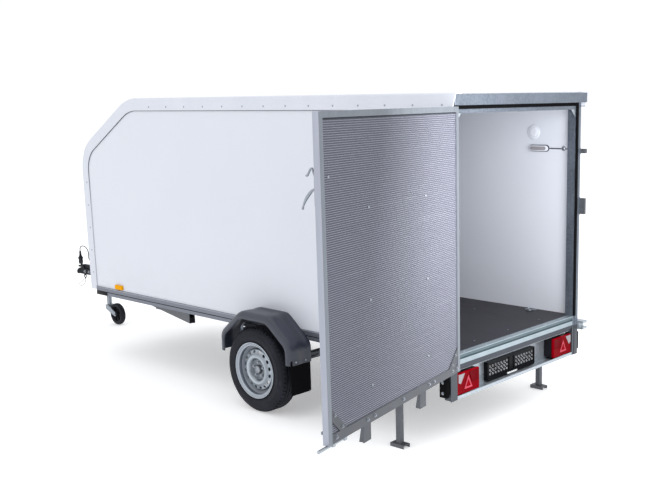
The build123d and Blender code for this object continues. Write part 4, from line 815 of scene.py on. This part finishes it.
def settle(piece, material, body="chassis", stands_for=()):
    """Shades a piece, gives it its finish, and lets it ride on its body."""
    choose(piece)
    bpy.ops.object.shade_smooth_by_angle(angle=math.radians(38))
    piece.data.materials.clear()
    piece.data.materials.append(material)
    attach(piece, body)
    if stands_for:
        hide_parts(*stands_for)
    print(piece.name, len(piece.data.polygons), "faces on", body)


# %% [markdown]
# ## One bolt and one rivet
#
# A zinc bolt head is a hexagon with broken edges on a round washer. A rivet is a low dome, turned
# from its half section. Both are modelled once, standing on the origin, and copied to their places.


# %% Model a bolt and a rivet
def bolt(name, radius):
    """A head as high as its radius, sunk a little in its washer."""
    washer = radius * 0.3
    choose()
    bpy.ops.mesh.primitive_cylinder_add(vertices=6, radius=radius, depth=radius,
                                        location=(0, 0, radius * 0.75))
    piece = begun(name)
    mode("EDIT")
    pick("edges", lambda middle, way: middle.z > radius * 1.2)
    bpy.ops.mesh.bevel(offset=radius * 0.16, segments=1, affect="EDGES")
    bpy.ops.mesh.select_all(action="DESELECT")
    bpy.ops.mesh.primitive_cylinder_add(vertices=20, radius=radius * 1.6, depth=washer,
                                        location=(0, 0, washer / 2))
    pick("edges", lambda middle, way: (
        abs(middle.z - washer) < 1e-5 and middle.xy.length > radius * 1.3))
    bpy.ops.mesh.bevel(offset=radius * 0.1, segments=1, affect="EDGES")
    mode("OBJECT")
    return piece


def rivet(name, radius):
    dome = ((0, 0.5), (0.45, 0.44), (0.8, 0.26), (1, 0), (0, 0))
    return turned(name, dome, 14, radius)


def fasten(kind, name, radius, places, material=zinc_plate, body="chassis"):
    """Makes one bolt or rivet, and copies it to its places."""
    settle(copies(kind(name, radius), places), material, body)


# %% [markdown]
# ## Ribbed door panel
#
# The panel is pressed sheet with low level ribs about 10 mm apart, which grip shoes when the door
# is let down as a ramp. One rib's section is traced, an Array repeats it upwards and welds the
# joints, and the closed outline is then filled and pushed along the door, so the ends are closed.

# %% Give the pressed sheet its finish
panel_low, panel_high = door_foot + 0.006, door_top - 0.0304
ribs = round((panel_high - panel_low) / 0.0105)
rib_pitch = (panel_high - panel_low) / ribs


def pressed_sheet():
    """Dull grey sheet: dirt lies in the grooves, and the tops of the ribs are rubbed brighter. A
    dark line at its top is a painted shadow under the frame's rail.
    """
    f = Finish("pressed_sheet", Metallic=0.3)
    height = f.along_axes()[2]
    phase = ((height - panel_low) * (1 / rib_pitch)).wrapped()
    crest = f.between(phase, 0.46, 0.62) * (1 - f.between(phase, 0.84, 0.98))
    cloud = f.cloudy(2.2, 5)
    wear = f.between(f.cloudy(1.0, 4, f.stretched(3, 3, 60)), 0.55, 0.8)
    sheet = f.blend(cloud, (0.105, 0.110, 0.142), (0.135, 0.140, 0.175))
    rubbed = f.blend(wear, (0.265, 0.275, 0.33), (0.335, 0.345, 0.40))
    # A painted shadow: a dark line under the frame's top rail.
    rail_shadow = f.between(height, panel_high - 0.0082, panel_high - 0.0072)
    return f.made_of(f.blend(rail_shadow, f.blend(crest, sheet, rubbed), (0.030, 0.036, 0.048)),
                     0.56 - crest * 0.1 + cloud * 0.1, f.cloudy(500, 2), 0.06, 0.0003)


panel_grey = pressed_sheet()
print("ribs", ribs, "made", panel_grey.name)

# %% Press the ribs
crown, groove, panel_back = 0.0312, 0.0276, 0.007
panel_start, panel_end = 0.052, door_free - 0.031
rib_section = ((groove, 0), (groove, 0.0042), (crown, 0.0062), (crown, 0.0085), (groove, rib_pitch))
panel = trace("ribbed_panel", [(panel_start, depth, panel_low + up) for depth, up in rib_section])
mode("OBJECT")
apply(panel, "ARRAY", count=ribs, use_relative_offset=False, use_constant_offset=True,
      constant_offset_displace=(0, 0, rib_pitch), use_merge_vertices=True, merge_threshold=0.0001)
mode("EDIT")
rib_end = panel_low + ribs * rib_pitch
pick("verts", lambda middle, way: middle.z > rib_end - 0.0001)
push(0, panel_back - groove, 0)
push(0, 0, panel_low - rib_end)
push(0, groove - panel_back, 0)
weld(0.0001)
bpy.ops.mesh.edge_face_add()
push(panel_end - panel_start, 0, 0)
close_up()
panel.data.transform(door_seat)
settle(panel, panel_grey, "rear_door", ["door_panel"])

# %% [markdown]
# ## Screws and bolts on the door
#
# Round headed screws hold the panel to stiffeners behind it, and bolts hold the bottom bar and
# the corner straps. They stand on the inner face, so each one faces inwards.


# %% Set the door's screws and bolts
def on_door(spots, depth=door_inner):
    return [door_seat @ at((s, depth, z), (0, 1, 0)) for s, z in spots]


panel_spots = [(1.335, 1.331), (0.996, 1.161), (0.413, 1.158), (0.402, 0.707), (0.998, 0.706),
               (0.998, 0.275), (0.402, 0.275)]
bar_spots = [(s, door_foot + 0.026) for s in (1.34, 1.06, 0.99, 0.70, 0.41, 0.35, 0.12, 0.065)]
strap_spots = [(door_free - 0.055, door_foot + 0.135), (door_free - 0.118, door_foot + 0.062),
               (0.082, door_foot + 0.112), (0.118, door_foot + 0.060)]
fasten(rivet, "panel_screws", 0.0085, on_door(panel_spots, 0.031), body="rear_door")
fasten(bolt, "bar_bolts", 0.0065, on_door(bar_spots), body="rear_door")
fasten(bolt, "strap_bolts", 0.0055, on_door(strap_spots), body="rear_door")

# %% [markdown]
# ## Tail lamps
#
# A tail lamp is a black housing behind a red lens. The lens has a clear reversing window in its
# upper outer corner, a three-sided reflector in its middle and a darker field beside it. The
# housing and lens are rounded bars with an inset face. The fields are thin plates on the lens,
# with their corners given outwards and upwards from the lamp's middle.

# %% Name the lamp's places and fields
lamp_face, lamp_back, housing_back = rear_face + 0.004, 0.0215, 0.083
lamp_middle, lamp_level = 0.532, deck - 0.190
lamp_half, lamp_rise, lip = 0.110, 0.068, 0.003
lamp_fields = [
    ("window", lamp_window, 0.0022, 0.004,
     [(0.102, 0.060), (0.102, 0.010), (0.080, 0.0), (0.040, 0.060)]),
    ("reflector", reflector_red, 0.0030, 0.003,
     [(0.006, 0.040), (0.046, -0.040), (-0.034, -0.040)]),
    ("heart", lamp_red, 0.0042, 0.002, [(0.006, 0.014), (0.027, -0.027), (-0.015, -0.027)]),
    ("field", lamp_dark, 0.0018, 0.004,
     [(-0.008, 0.060), (-0.102, 0.060), (-0.102, -0.006), (-0.030, -0.006)])]
print("lamp fields", len(lamp_fields))

# %% Build both tail lamps
for s, side in SIDES:
    mid = s * lamp_middle
    housing = block(
        f"lamp_housing_{side}",
        (lamp_face + 0.022, mid - lamp_half + lip, lamp_level - lamp_rise + lip),
        (lamp_face + housing_back, mid + lamp_half - lip, lamp_level + lamp_rise - lip), 0.005)
    inset(lambda middle, way: abs(way.y) > 0.9 and abs(middle.y - mid) > 0.1, (0.008, -0.003))
    settle(housing, black_plastic, stands_for=["tail_lamps"])
    lamp = block(f"lamp_lens_{side}", (lamp_face, mid - lamp_half, lamp_level - lamp_rise),
                 (lamp_face + lamp_back, mid + lamp_half, lamp_level + lamp_rise), 0.007, 3)
    inset(lambda middle, way: way.x < -0.95 and abs(middle.x - lamp_face) < 0.0005,
          (0.004, 0.0), (0.002, -0.0012))
    settle(lamp, lamp_red, stands_for=["tail_lamps"])
    for name, finish, depth, rim, corners in lamp_fields:
        piece = plate(f"lamp_{name}_{side}", [
            (lamp_face - 0.0002, mid + s * out, lamp_level + up) for out, up in corners],
            (-depth, 0, 0))
        inset(lambda middle, way: way.x < -0.9, (rim, -depth * 0.6))
        settle(piece, finish)

# %% [markdown]
# ## Number plate carrier
#
# The carrier is a black moulding whose face is a relief of little rings, which keeps a thin panel
# stiff, with two upright ribs near its middle. One ring is turned and then copied in rows, and
# most gaps between rings hold a small stud. A pale lamp under it lights the plate. The carrier is
# bare, with no plate on it.

# %% Raise the rings, studs and ribs
carrier_low, carrier_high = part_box("plate_holder")
carrier_face = carrier_low.x + 0.0052
carrier_mid = (carrier_low.z + carrier_high.z) / 2 + 0.006
first_ring, first_stud, ring_gap, ring_rows = 0.052, 0.0675, 0.031, 0.026
ring_section = [(4.6, 0), (4.6, 3), (5.8, 4.2), (7.2, 3), (7.2, 0), (4.6, 0)]


def on_carrier(y, up):
    return at((carrier_face, y, carrier_mid + up * ring_rows), (-1, 0, 0))


# The rings and studs take the pale finish, a painted highlight on the black moulding.
rings = copies(turned("carrier_rings", ring_section, 14), [
    on_carrier(s * (first_ring + column * ring_gap), row - 1)
    for s in (1, -1) for column in range(7) for row in range(3)])
fasten(rivet, "carrier_studs", 0.0046, [
    on_carrier(s * (first_stud + column * ring_gap), row - 0.5)
    for s in (1, -1) for column in range(6) for row in range(2)
    if (column * 2 + row * 3) % 5 != 1], relief_highlight)
settle(rings, relief_highlight)
settle(join([
    side_block("carrier_ribs", s, (carrier_low.x + 0.0002, 0.022, carrier_mid - 0.044),
               (carrier_face + 0.0002, 0.030, carrier_mid + 0.044), 0.001)
    for s in (1, -1)]), relief_black)
settle(block("plate_lamp", (carrier_low.x - 0.006, -0.055, carrier_low.z + 0.001),
             (carrier_low.x + 0.0002, 0.055, carrier_low.z + 0.012), 0.002), lamp_clear)

# %% [markdown]
# ## Rubber buffers and fixings at the rear frame
#
# A black buffer on the outside of each rear post saves the body from knocks. Round screws hold the
# floor and the sill's lip, and plates close the open ends of the header beam.

# %% Fit the buffers, screws and bolts
floor_beams = (-0.427, -0.056, 0.31)
section_out, buffer_out = half_width + 0.0015, half_width + 0.030
buffer_rear, buffer_length = rear_face + 0.004, 0.060
for s, side in SIDES:
    buffer = side_block(f"buffer_{side}", s, (buffer_rear, section_out, ground + 0.368),
                        (buffer_rear + buffer_length, buffer_out, ground + 0.494), 0.006, 3)
    inset(lambda middle, way: way.y * s > 0.95, (0.007, 0.003))
    settle(buffer, seal_rubber)
fasten(bolt, "buffer_bolts", 0.006, [
    at((buffer_rear + buffer_length / 2, s * (buffer_out + 0.002), ground + level), (0, s, 0))
    for s in (1, -1) for level in (0.398, 0.464)])
fasten(rivet, "lip_screws", 0.007, [
    at((rear_face + 0.020, -0.56 + step * 0.224, deck), (0, 0, 1)) for step in range(6)],
    zinc_bright)
fasten(rivet, "floor_screws", 0.0055, [
    at((rear_face + 0.13 + row * 0.56, y, deck), (0, 0, 1))
    for row in range(6) for y in floor_beams])

# %% Close the header's open ends
header_low, header_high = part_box("header_beam")
clear_of_door = roof_top - 0.0645
settle(join([
    side_block("header_ends", s, (header_low.x, header_high.y + 0.0003, clear_of_door),
               (rear_face - 0.0008, half_width - 0.0007, header_high.z), 0.001)
    for s in (1, -1)]), zinc_dip)

# %% [markdown]
# ## Painted shadow line along the side rails
#
# Each rail is an extruded section with a step along it. A black strip under the step is a painted
# shadow: a long rounded bar just under the rail's upper band. A lip of brighter alloy stands proud
# above it as a painted highlight.

# %% Lay the rails' painted shadow strips and highlight lips
rail_low, rail_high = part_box("side_rails")
strip_rear, strip_front = rail_low.x + 0.002, rail_high.x - 0.002
band = rail_high.z - 0.0335
strip_in, strip_out = half_width + 0.0038, half_width + 0.0055
lip_in, lip_out = half_width + 0.0085, half_width + 0.0108
for s, side in SIDES:
    # A black strip as painted shadow under the step, and a brighter alloy lip as a painted
    # highlight.
    settle(side_block(f"rail_shadow_strip_{side}", s, (strip_rear, strip_in, band - 0.0070),
                      (strip_front, strip_out, band - 0.0025), 0.0004), seal_rubber)
    settle(side_block(f"rail_highlight_lip_{side}", s, (strip_rear, lip_in, rail_high.z - 0.0065),
                      (strip_front, lip_out, rail_high.z - 0.0005), 0.0006), frame_alloy)

# %% [markdown]
# ## End caps
#
# Moulded caps close the open ends of the hollow sections: the lower half of each drawbar beam at
# its rear, and the lower band of each side rail at its front. Each is a rounded bar with an inset
# face, and the beam's caps are turned to stand square to the beam. A white foot ends each edge
# moulding at the front.

# %% Close the ends
# The left beam's rear end, and the way that it runs forward and in
beam_rear, beam_reach = Vector((-2.755, 0.671)), Vector((2.425, -0.6145)).normalized()
beam_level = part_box("drawbar_beams")[0].z + 0.043
caps = []
for s, side in SIDES:
    cap = block("section_end_caps", (-0.0068, -0.0221, -0.0425), (-0.0004, 0.0221, 0.0), 0.0025)
    inset(lambda middle, way: way.x < -0.95 and middle.x < -0.006, (0.005, -0.0012))
    cap.data.transform(Matrix((
        (beam_reach.x, -s * beam_reach.y, 0, beam_rear.x),
        (s * beam_reach.y, beam_reach.x, 0, s * beam_rear.y),
        (0, 0, 1, beam_level), (0, 0, 0, 1))))
    caps += [cap, side_block(
        "rail_cap", s, (rail_high.x - 0.150, section_out, rail_low.z - 0.0015),
        (rail_high.x + 0.004, half_width + 0.0082, band - 0.0015), 0.0018)]
settle(join(caps), black_plastic, stands_for=["end_caps"])
for s, side in SIDES:
    foot = side_block(
        f"moulding_foot_{side}", s, (rail_high.x + 0.0015, 0.640, rail_high.z - 0.026),
        (rail_high.x + 0.086, strip_out, rail_high.z - 0.0005), 0.006, 3)
    inset(lambda middle, way: way.y * s > 0.95, (0.004, -0.0008))
    settle(foot, pale_plastic, stands_for=["end_caps"])

# %% [markdown]
# ## Rivets along the mouldings
#
# Grey rivets hold the roof's edge mouldings. They stand in a row on each side, 0.22 m apart, and
# down the front corners. Their true surface is found by a ray cast at the moulding, so each one
# sits on it.

# %% Rivet the mouldings
roof_row = [(rear_face + 0.042 + step * 0.221, roof_top - 0.062) for step in range(14)]
nose_row = [(front_face - 0.055, ground + 0.72 + step * 0.19) for step in range(5)]
row_places = []
for row in (roof_row, nose_row):
    for s in (1, -1):
        for x, z in row:
            hit, place, _, _ = nodes["edge_mouldings"].ray_cast(
                Vector((x, s * 1.2, z)), Vector((0, -s, 0)))
            if hit and abs(place.y) > half_width:
                row_places.append(at(place, (0, s, 0)))
fasten(rivet, "moulding_rivets", 0.0065, row_places)
print("rivets", len(row_places))

# %% [markdown]
# ## Painted shadow line under the mouldings
#
# A thin dark bead is a painted shadow under the moulding's edge, where it meets the side. Its line
# is the moulding's own narrow edge, so that edge is picked out of a copy of the moulding's mesh,
# and pushed outwards along its normals to a bead.

# %% Lay the bead
bead = shown("moulding_shadow_bead", nodes["edge_mouldings"].data.copy())
choose(bead)
mode("EDIT")
pick("faces", lambda middle, way: not (
    abs(middle.y) > half_width + 0.001 and abs(way.y) < 0.15
    and middle.x > rear_face + 0.01 and middle.z > ground + 0.62))
bpy.ops.mesh.delete(type="FACE")
weld()
bpy.ops.mesh.extrude_region_shrink_fatten(TRANSFORM_OT_shrink_fatten={"value": 0.004})
close_up()
# The bead's dark finish is the painted shadow under the moulding's edge.
settle(bead, moulding_shadow_finish)

# %% [markdown]
# ## Door latch
#
# The latch on the door's free edge is a flat base with two bent bars: a hook above and a longer,
# curved lever below. A Skin modifier thickens a traced line into a bar, and two rounds of
# subdivision smooth it. A turned knob stands near the door's foot.


# %% Bend the hook and lever
def bent_bar(name, points, radii):
    piece = trace(name, points)
    weld()
    mode("OBJECT")
    skin = piece.modifiers.new("skin", "SKIN")
    skin.use_smooth_shade = True
    for vertex, grip in zip(piece.data.vertices, piece.data.skin_vertices[0].data):
        nearest = min(range(len(points)), key=lambda i: (vertex.co - Vector(points[i])).length)
        grip.radius = (radii[nearest], radii[nearest])
    bpy.ops.object.modifier_apply(modifier="skin")
    apply(piece, "SUBSURF", levels=2, render_levels=2)
    return piece


latch_s = door_free - 0.015
latch_base = block(
    "latch_base", (latch_s - 0.011, -0.003, 1.205), (latch_s + 0.011, 0.001, 1.345), 0.001)
hook_line = [(0.0, 1.325), (-0.010, 1.352), (-0.017, 1.374), (-0.026, 1.369), (-0.037, 1.350),
             (-0.044, 1.338), (-0.054, 1.337)]
lever_line = [(0.0, 1.284), (-0.022, 1.272), (-0.043, 1.250), (-0.060, 1.226), (-0.071, 1.203),
              (-0.077, 1.184)]
hook = bent_bar("latch_hook", [(latch_s, *spot) for spot in hook_line],
                [0.0052] * 5 + [0.0055, 0.0062])
lever = bent_bar("latch_lever", [(latch_s, *spot) for spot in lever_line],
                 [0.0040, 0.0070, 0.0085, 0.0068, 0.0042, 0.0072])
knob = copies(turned("latch_knob", [
    (0, 12.5), (6, 12), (8.8, 9), (8.8, 6), (5, 4), (5, 0), (0, 0)], 24),
    [at((latch_s, -0.003, door_foot + 0.055), (0, -1, 0))])
latch = join([latch_base, hook, lever, knob])
latch.data.transform(door_seat)
settle(latch, zinc_plate, "rear_door", ["door_latch"])

# %% [markdown]
# ## Tyres
#
# A road tyre has a tread with four grooves round it, shoulders cut into blocks, and raised rings on
# its walls. Its half section is traced once and spun round the axle, then every other shoulder
# face is pushed in to make the cuts.

# %% Draw half of the tyre's section, in millimetres
tyre_half = [
    (186.8, 59), (192.5, 66.2), (196.5, 68.8), (201, 72.5), (209, 76.8), (210.2, 79),
    (212.6, 79.4), (214, 78.2), (223, 80.2), (236, 81.5), (248, 81.2), (248.8, 82.4),
    (251.5, 82.2), (252.5, 80.6), (262, 78.4), (272, 73.8), (276, 71.2), (277, 72.2),
    (279.5, 71.2), (280.2, 69), (289, 62.8), (296.8, 54), (299.4, 46), (300, 39), (293.5, 37.8),
    (293.5, 31.8), (300, 30.6), (300, 15), (293.5, 13.8), (293.5, 8.2), (300, 7)]
lining_half = [(284, 46), (270, 62), (215, 66), (186.8, 52)]
tyre_section = tyre_half + mirrored(tyre_half) + mirrored(lining_half) + lining_half
tyre_steps = 120
print("tyre section", len(tyre_section), "points")


# %% Spin a tyre and cut its shoulders
def wheel_middle(s, out=0.0):
    """The middle of a wheel, or a spot further out on its axle."""
    return Vector((axle.x, s * (axle.y + out), axle.z))


def tyre(side, s):
    centre = wheel_middle(s)
    piece = wheel_ring(f"tyre_tread_{side}", tyre_section, centre, tyre_steps)

    def shoulder(middle, way):
        across, out = abs(middle.y - centre.y), (middle - centre).xz
        step = math.atan2(out.y, out.x) / math.tau * tyre_steps
        return 0.047 < across < 0.062 and out.length > 0.288 and math.floor(step) % 2 == 0

    mode("EDIT")
    pick("faces", shoulder)
    bpy.ops.mesh.extrude_region_shrink_fatten(TRANSFORM_OT_shrink_fatten={"value": -0.005})
    mode("OBJECT")
    return piece


for s, side in SIDES:
    settle(tyre(side, s), tyre_black, f"wheel_{side}", [f"tyre_{side}"])

# %% [markdown]
# ## Pressed steel rims
#
# The rim is a rolled hoop with a welded dished disc, and sixteen oval holes go through the disc.
# Both sections are turned round the axle, one flattened cylinder is copied round as a cutter, and a
# Boolean takes the holes out. The sections are in millimetres.

# %% Turn the rims and cut their holes
hoop = [
    (195.5, 75), (198.5, 78), (197.5, 80.5), (193.5, 80.5), (191, 77.5), (187.5, 75), (172.8, 69),
    (170.8, 47), (149, 36), (149, -10), (170.8, -28), (172.8, -69), (187.5, -75), (195.5, -75),
    (192.5, -71), (177.8, -66), (175.8, -26), (155, -6), (155, 32), (175.8, 44), (177.8, 66),
    (192.5, 71)]
disc = [
    (150, 12), (150, 30), (146.5, 38), (142, 44), (136, 47.5), (120, 51.5), (113, 53.5), (106, 60),
    (101, 63), (95, 64.2), (89, 62.6), (83, 57), (78, 49), (72, 38), (69, 35.4), (33, 35.2),
    (33, 30.2), (71, 30.2), (80, 45), (86, 55), (93, 58.4), (100, 57.5), (107, 51), (114, 47),
    (136, 41.5), (143, 30), (144, 12)]
hole_count, hole_ring, hole_depth = 16, 0.128, 0.047
hole_radius, hole_stretch = 0.0098, 1.45


def rim_ring(name, section, s):
    return wheel_ring(name, [(radius, s * out) for radius, out in section], wheel_middle(s), 96)


for s, side in SIDES:
    dish = rim_ring(f"rim_disc_{side}", disc, s)
    choose()
    bpy.ops.mesh.primitive_cylinder_add(
        vertices=28, radius=hole_radius, depth=0.05, scale=(hole_stretch, 1, 1))
    middle_of_disc = Matrix.Translation(wheel_middle(s, hole_depth))
    outwards = (Matrix.Translation((hole_ring, 0, 0)) @ Matrix.Rotation(math.pi / 2, 4, "X")
                @ Matrix.Rotation(math.pi / 2, 4, "Z"))
    cutter = copies(begun("hole_cutter"), [
        middle_of_disc @ Matrix.Rotation(math.tau * (i + 0.5) / hole_count, 4, "Y") @ outwards
        for i in range(hole_count)])
    apply(dish, "BOOLEAN", object=cutter)
    bpy.data.objects.remove(cutter)
    rim = join([dish, rim_ring(f"rim_hoop_{side}", hoop, s)])
    settle(rim, rim_silver, f"wheel_{side}", [f"wheel_rim_{side}"])

# %% [markdown]
# ## Wheel bolts and hub cap
#
# Five bolts hold each rim to its hub, and a small pressed cap with a rolled edge closes the
# bearing.

# %% Fit bolts and caps
bolt_ring, bolt_turn, rim_seat = 0.050, 0.3, 0.0352
cap_profile = [(0, 23.5), (10, 23), (13.5, 19.5), (21.5, 18.5), (25.5, 15), (26.2, 3.5), (28.5, 3),
               (28.8, 0), (0, 0)]
bolt_circle = [math.tau * i / 5 + bolt_turn for i in range(5)]
for s, side in SIDES:
    fasten(bolt, f"wheel_bolts_{side}", 0.0095, [
        at(wheel_middle(s, rim_seat) + bolt_ring * Vector((math.cos(angle), 0, math.sin(angle))),
           (0, s, 0)) for angle in bolt_circle], body=f"wheel_{side}")
    settle(copies(turned(f"hub_cap_{side}", cap_profile, 40), [
        at(wheel_middle(s, rim_seat + 0.001), (0, s, 0))]), zinc_plate, f"wheel_{side}")

# %% [markdown]
# ## Mudguards
#
# Each mudguard is moulded in one sheet: a flat top with two creases, a well rounded outer edge and
# a narrow skirt. The arch is traced once for every line along it, each line a little further in,
# and the lines are bridged in pairs. Solidify gives the sheet its thickness.

# %% Find the arch's line
guard_low, guard_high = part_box("mudguards")
guard_middle, guard_half = (guard_low.x + guard_high.x) / 2, (guard_high.x - guard_low.x) / 2
guard_foot, guard_top, guard_shoulder = guard_low.z, guard_high.z, axle.z + 0.230
flat_half, bend = 0.155, 0.040


def arch(inset_by, across):
    """Half an eight-sided arch with rounded corners, set in all round by the same amount."""
    lean = inset_by * math.tan(math.radians(22.5))
    foot, top = guard_half - inset_by, guard_top - inset_by
    half = [(foot, guard_foot), (foot, guard_shoulder - lean), (flat_half - lean, top)]
    corners = [Vector((-x, z)) for x, z in half] + [Vector(spot) for spot in reversed(half)]
    line = [corners[0]]
    for before, corner, after in zip(corners, corners[1:], corners[2:]):
        start = corner + (before - corner).normalized() * bend
        end = corner + (after - corner).normalized() * bend
        for t in (step / 6 for step in range(7)):
            line.append(start * (1 - t) ** 2 + corner * 2 * t * (1 - t) + end * t * t)
    line.append(corners[-1])
    return [(guard_middle + p.x, across, p.y) for p in line]


# %% Choose the lines that run along the arch
inner, outer, roll_edge = half_width + 0.0105, guard_high.y, 0.038
crease = 0.0025
guard_lines = [(0.0, inner), (0.0, inner + 0.030), (crease, inner + 0.034),
               (crease, inner + 0.092), (0.0, inner + 0.096), (0.0, outer - roll_edge)]
for step in range(1, 7):
    angle = math.radians(15 * step)
    guard_lines.append((roll_edge - roll_edge * math.cos(angle),
                        outer - roll_edge + roll_edge * math.sin(angle)))
guard_lines += [(0.0460, outer - 0.0008), (0.0475, outer - 0.0030), (0.0500, outer - 0.0032),
                (0.0515, outer - 0.0012), (0.0535, outer - 0.0060)]
print("lines along each mudguard", len(guard_lines))


# %% Mould the two guards
def mudguard(side, s):
    pieces = []
    for inset_by, across in guard_lines:
        pieces.append(trace(f"mudguard_{side}", arch(inset_by, s * across)))
        mode("OBJECT")
    guard = join(pieces)
    mode("EDIT")
    for (_, first), (_, second) in zip(guard_lines, guard_lines[1:]):
        pick("edges", lambda middle, way: abs(way.y) < 0.001 and min(
            abs(middle.y - s * first), abs(middle.y - s * second)) < 0.00001)
        bpy.ops.mesh.bridge_edge_loops()
    face_outwards()
    top_face = max(guard.data.polygons, key=lambda face: face.center.z)
    apply(guard, "SOLIDIFY", thickness=0.003, offset=-1 if top_face.normal.z > 0 else 1)
    mode("EDIT")
    face_outwards()
    return guard


for s, side in SIDES:
    settle(mudguard(side, s), guard_plastic, stands_for=["mudguards"])
fasten(rivet, "guard_bolts", 0.007, [
    at((guard_low.x, s * y, guard_foot + 0.022), (-1, 0, 0))
    for s in (1, -1) for y in (0.775, 0.862)])

# %% [markdown]
# ## Jockey wheel
#
# The jockey wheel has a solid black tyre on a moulded hub with a ribbed dish. Both are turned from
# their sections round the wheel's own axle, and the ribs are thin bars copied round it.

# %% Turn the jockey wheel
jockey_low, jockey_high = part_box("jockey_wheel")
jockey = (jockey_low + jockey_high) / 2
tread = (jockey_high.z - jockey_low.z) / 2 * 1000
solid_half = [(78, 19), (86, 22.5), (92, 23.6), (98, 21.5), (102.5, 16), (tread, 8), (tread, 2.5)]
dish_half = [(8.5, 23.5), (18, 23.5), (20, 21.5), (22, 6), (64, 4), (70, 17), (78, 18)]
jockey_tyre = wheel_ring(
    "jockey_tyre", solid_half + [(103.5, 0)] + mirrored(solid_half), jockey, 72)
settle(jockey_tyre, tyre_black, "jockey_roller", ["jockey_wheel"])
jockey_hub = wheel_ring("jockey_hub", dish_half + mirrored(dish_half), jockey, 60)
settle(jockey_hub, black_plastic, "jockey_roller", ["jockey_wheel"])
spoke = block("jockey_spokes", (0.021, -0.002, -0.016), (0.067, 0.002, 0.016), 0.0008)
spokes = copies(spoke, [
    Matrix.Translation(jockey) @ Matrix.Rotation(math.tau * i / 6, 4, "Y")
    @ Matrix.Rotation(math.pi / 2, 4, "X") for i in range(6)])
settle(spokes, black_plastic, "jockey_roller")

# %% [markdown]
# ## Coupling bolts and plug collar
#
# Two bolts on each side go through the coupling's shank. The plug has a gripping collar with five
# small notches, turned from one section.

# %% Fit the bolts and the collar
fasten(bolt, "shank_bolts", 0.009, [
    at((x, s * 0.0301, 0.016), (0, s, 0)) for s in (1, -1) for x in (-0.205, -0.130)])
collar_section = [(19.2, 0), (19.2, 14)]
for level in range(14, 34, 4):
    collar_section += [
        (20.6, level), (20.6, level + 2), (19.4, level + 2.5), (19.4, level + 3.5)]
collar_section += [(19.2, 36), (19.2, 40), (18.5, 40), (18.5, 0), (19.2, 0)]
plug_foot = Matrix.Translation((-0.012, 0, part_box("lighting_plug")[0].z))
settle(copies(turned("plug_collar", collar_section, 40), [plug_foot]), black_plastic)

# %% [markdown]
# ## Wall vent and lamp inside the load space
#
# A round white vent sits high on the right wall, with a raised hood over a rolled edge. Below it is
# a pale oblong lamp in a dark frame. A thin dark wire runs from it to the rear post, past a round
# cap.

# %% Turn the vent
vent_low, vent_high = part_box("wall_vent")
vent_seat = (vent_low + vent_high) / 2
vent_seat.y = vent_low.y + 0.0005
vent_cover = turned("vent_cover", [
    (0, 13), (18, 12.8), (30, 11.8), (34.5, 9.5), (35.5, 6), (40, 6), (41, 7.5), (47, 6.5),
    (50, 3.5), (50, 0), (0, 0)], 64)
settle(copies(vent_cover, [at(vent_seat, (0, 1, 0))]), pale_plastic, stands_for=["wall_vent"])

# %% Frame the lamp and run its wire
inside_low, inside_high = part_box("interior_lamp")
wall, lamp_mid, lamp_end, lamp_length = inside_low.y, inside_high.z - 0.023, inside_high.x, 0.168


def oblong(name, margin, foot, half, thickness, edge):
    """A bar along the wall with two round ends, a margin shorter at each end than the lamp."""
    front, rear = lamp_end - margin - half, lamp_end - lamp_length + margin + half
    points = []
    for middle, first in ((front, -90), (rear, 90)):
        for angle in (math.radians(first + step * 22.5) for step in range(9)):
            points.append((middle + half * math.cos(angle), wall + foot,
                           lamp_mid + half * math.sin(angle)))
    return plate(name, points, (0, thickness, 0), edge)


for part, finish, *sizes in (
        ("frame", black_plastic, 0.0, 0.0, 0.023, 0.008, 0.0015),
        ("rim", pale_plastic, 0.004, 0.0082, 0.019, 0.010, 0.003),
        ("glass", lamp_window, 0.020, 0.0184, 0.012, 0.006, 0.002)):
    settle(oblong(f"inside_lamp_{part}", *sizes), finish, stands_for=["interior_lamp"])
wire_run = block("inside_lamp_wire", (inside_low.x, wall, lamp_mid - 0.003),
                 (lamp_end - lamp_length - 0.001, wall + 0.006, lamp_mid + 0.003), 0.001)
settle(wire_run, black_plastic, stands_for=["interior_lamp"])
fasten(rivet, "wall_cap", 0.016, [
    at((inside_low.x + 0.06, wall + 0.004, lamp_mid + 0.002), (0, 1, 0))])

# %% [markdown]
# ## Finish of the studio floor
#
# The floor glows a little, so that it stays as pale as the background wherever it is in shade.

# %% Paint the studio floor
pale = Finish("studio_pale", Roughness=0.9, Emission_Color=(1, 1, 1, 1), Emission_Strength=0.32)
pale_cloud = pale.blend(pale.cloudy(0.4, 2), (0.86, 0.87, 0.88), (0.89, 0.90, 0.91))
floor.data.materials.append(pale.made_of(pale_cloud))
print("materials", len(bpy.data.materials))
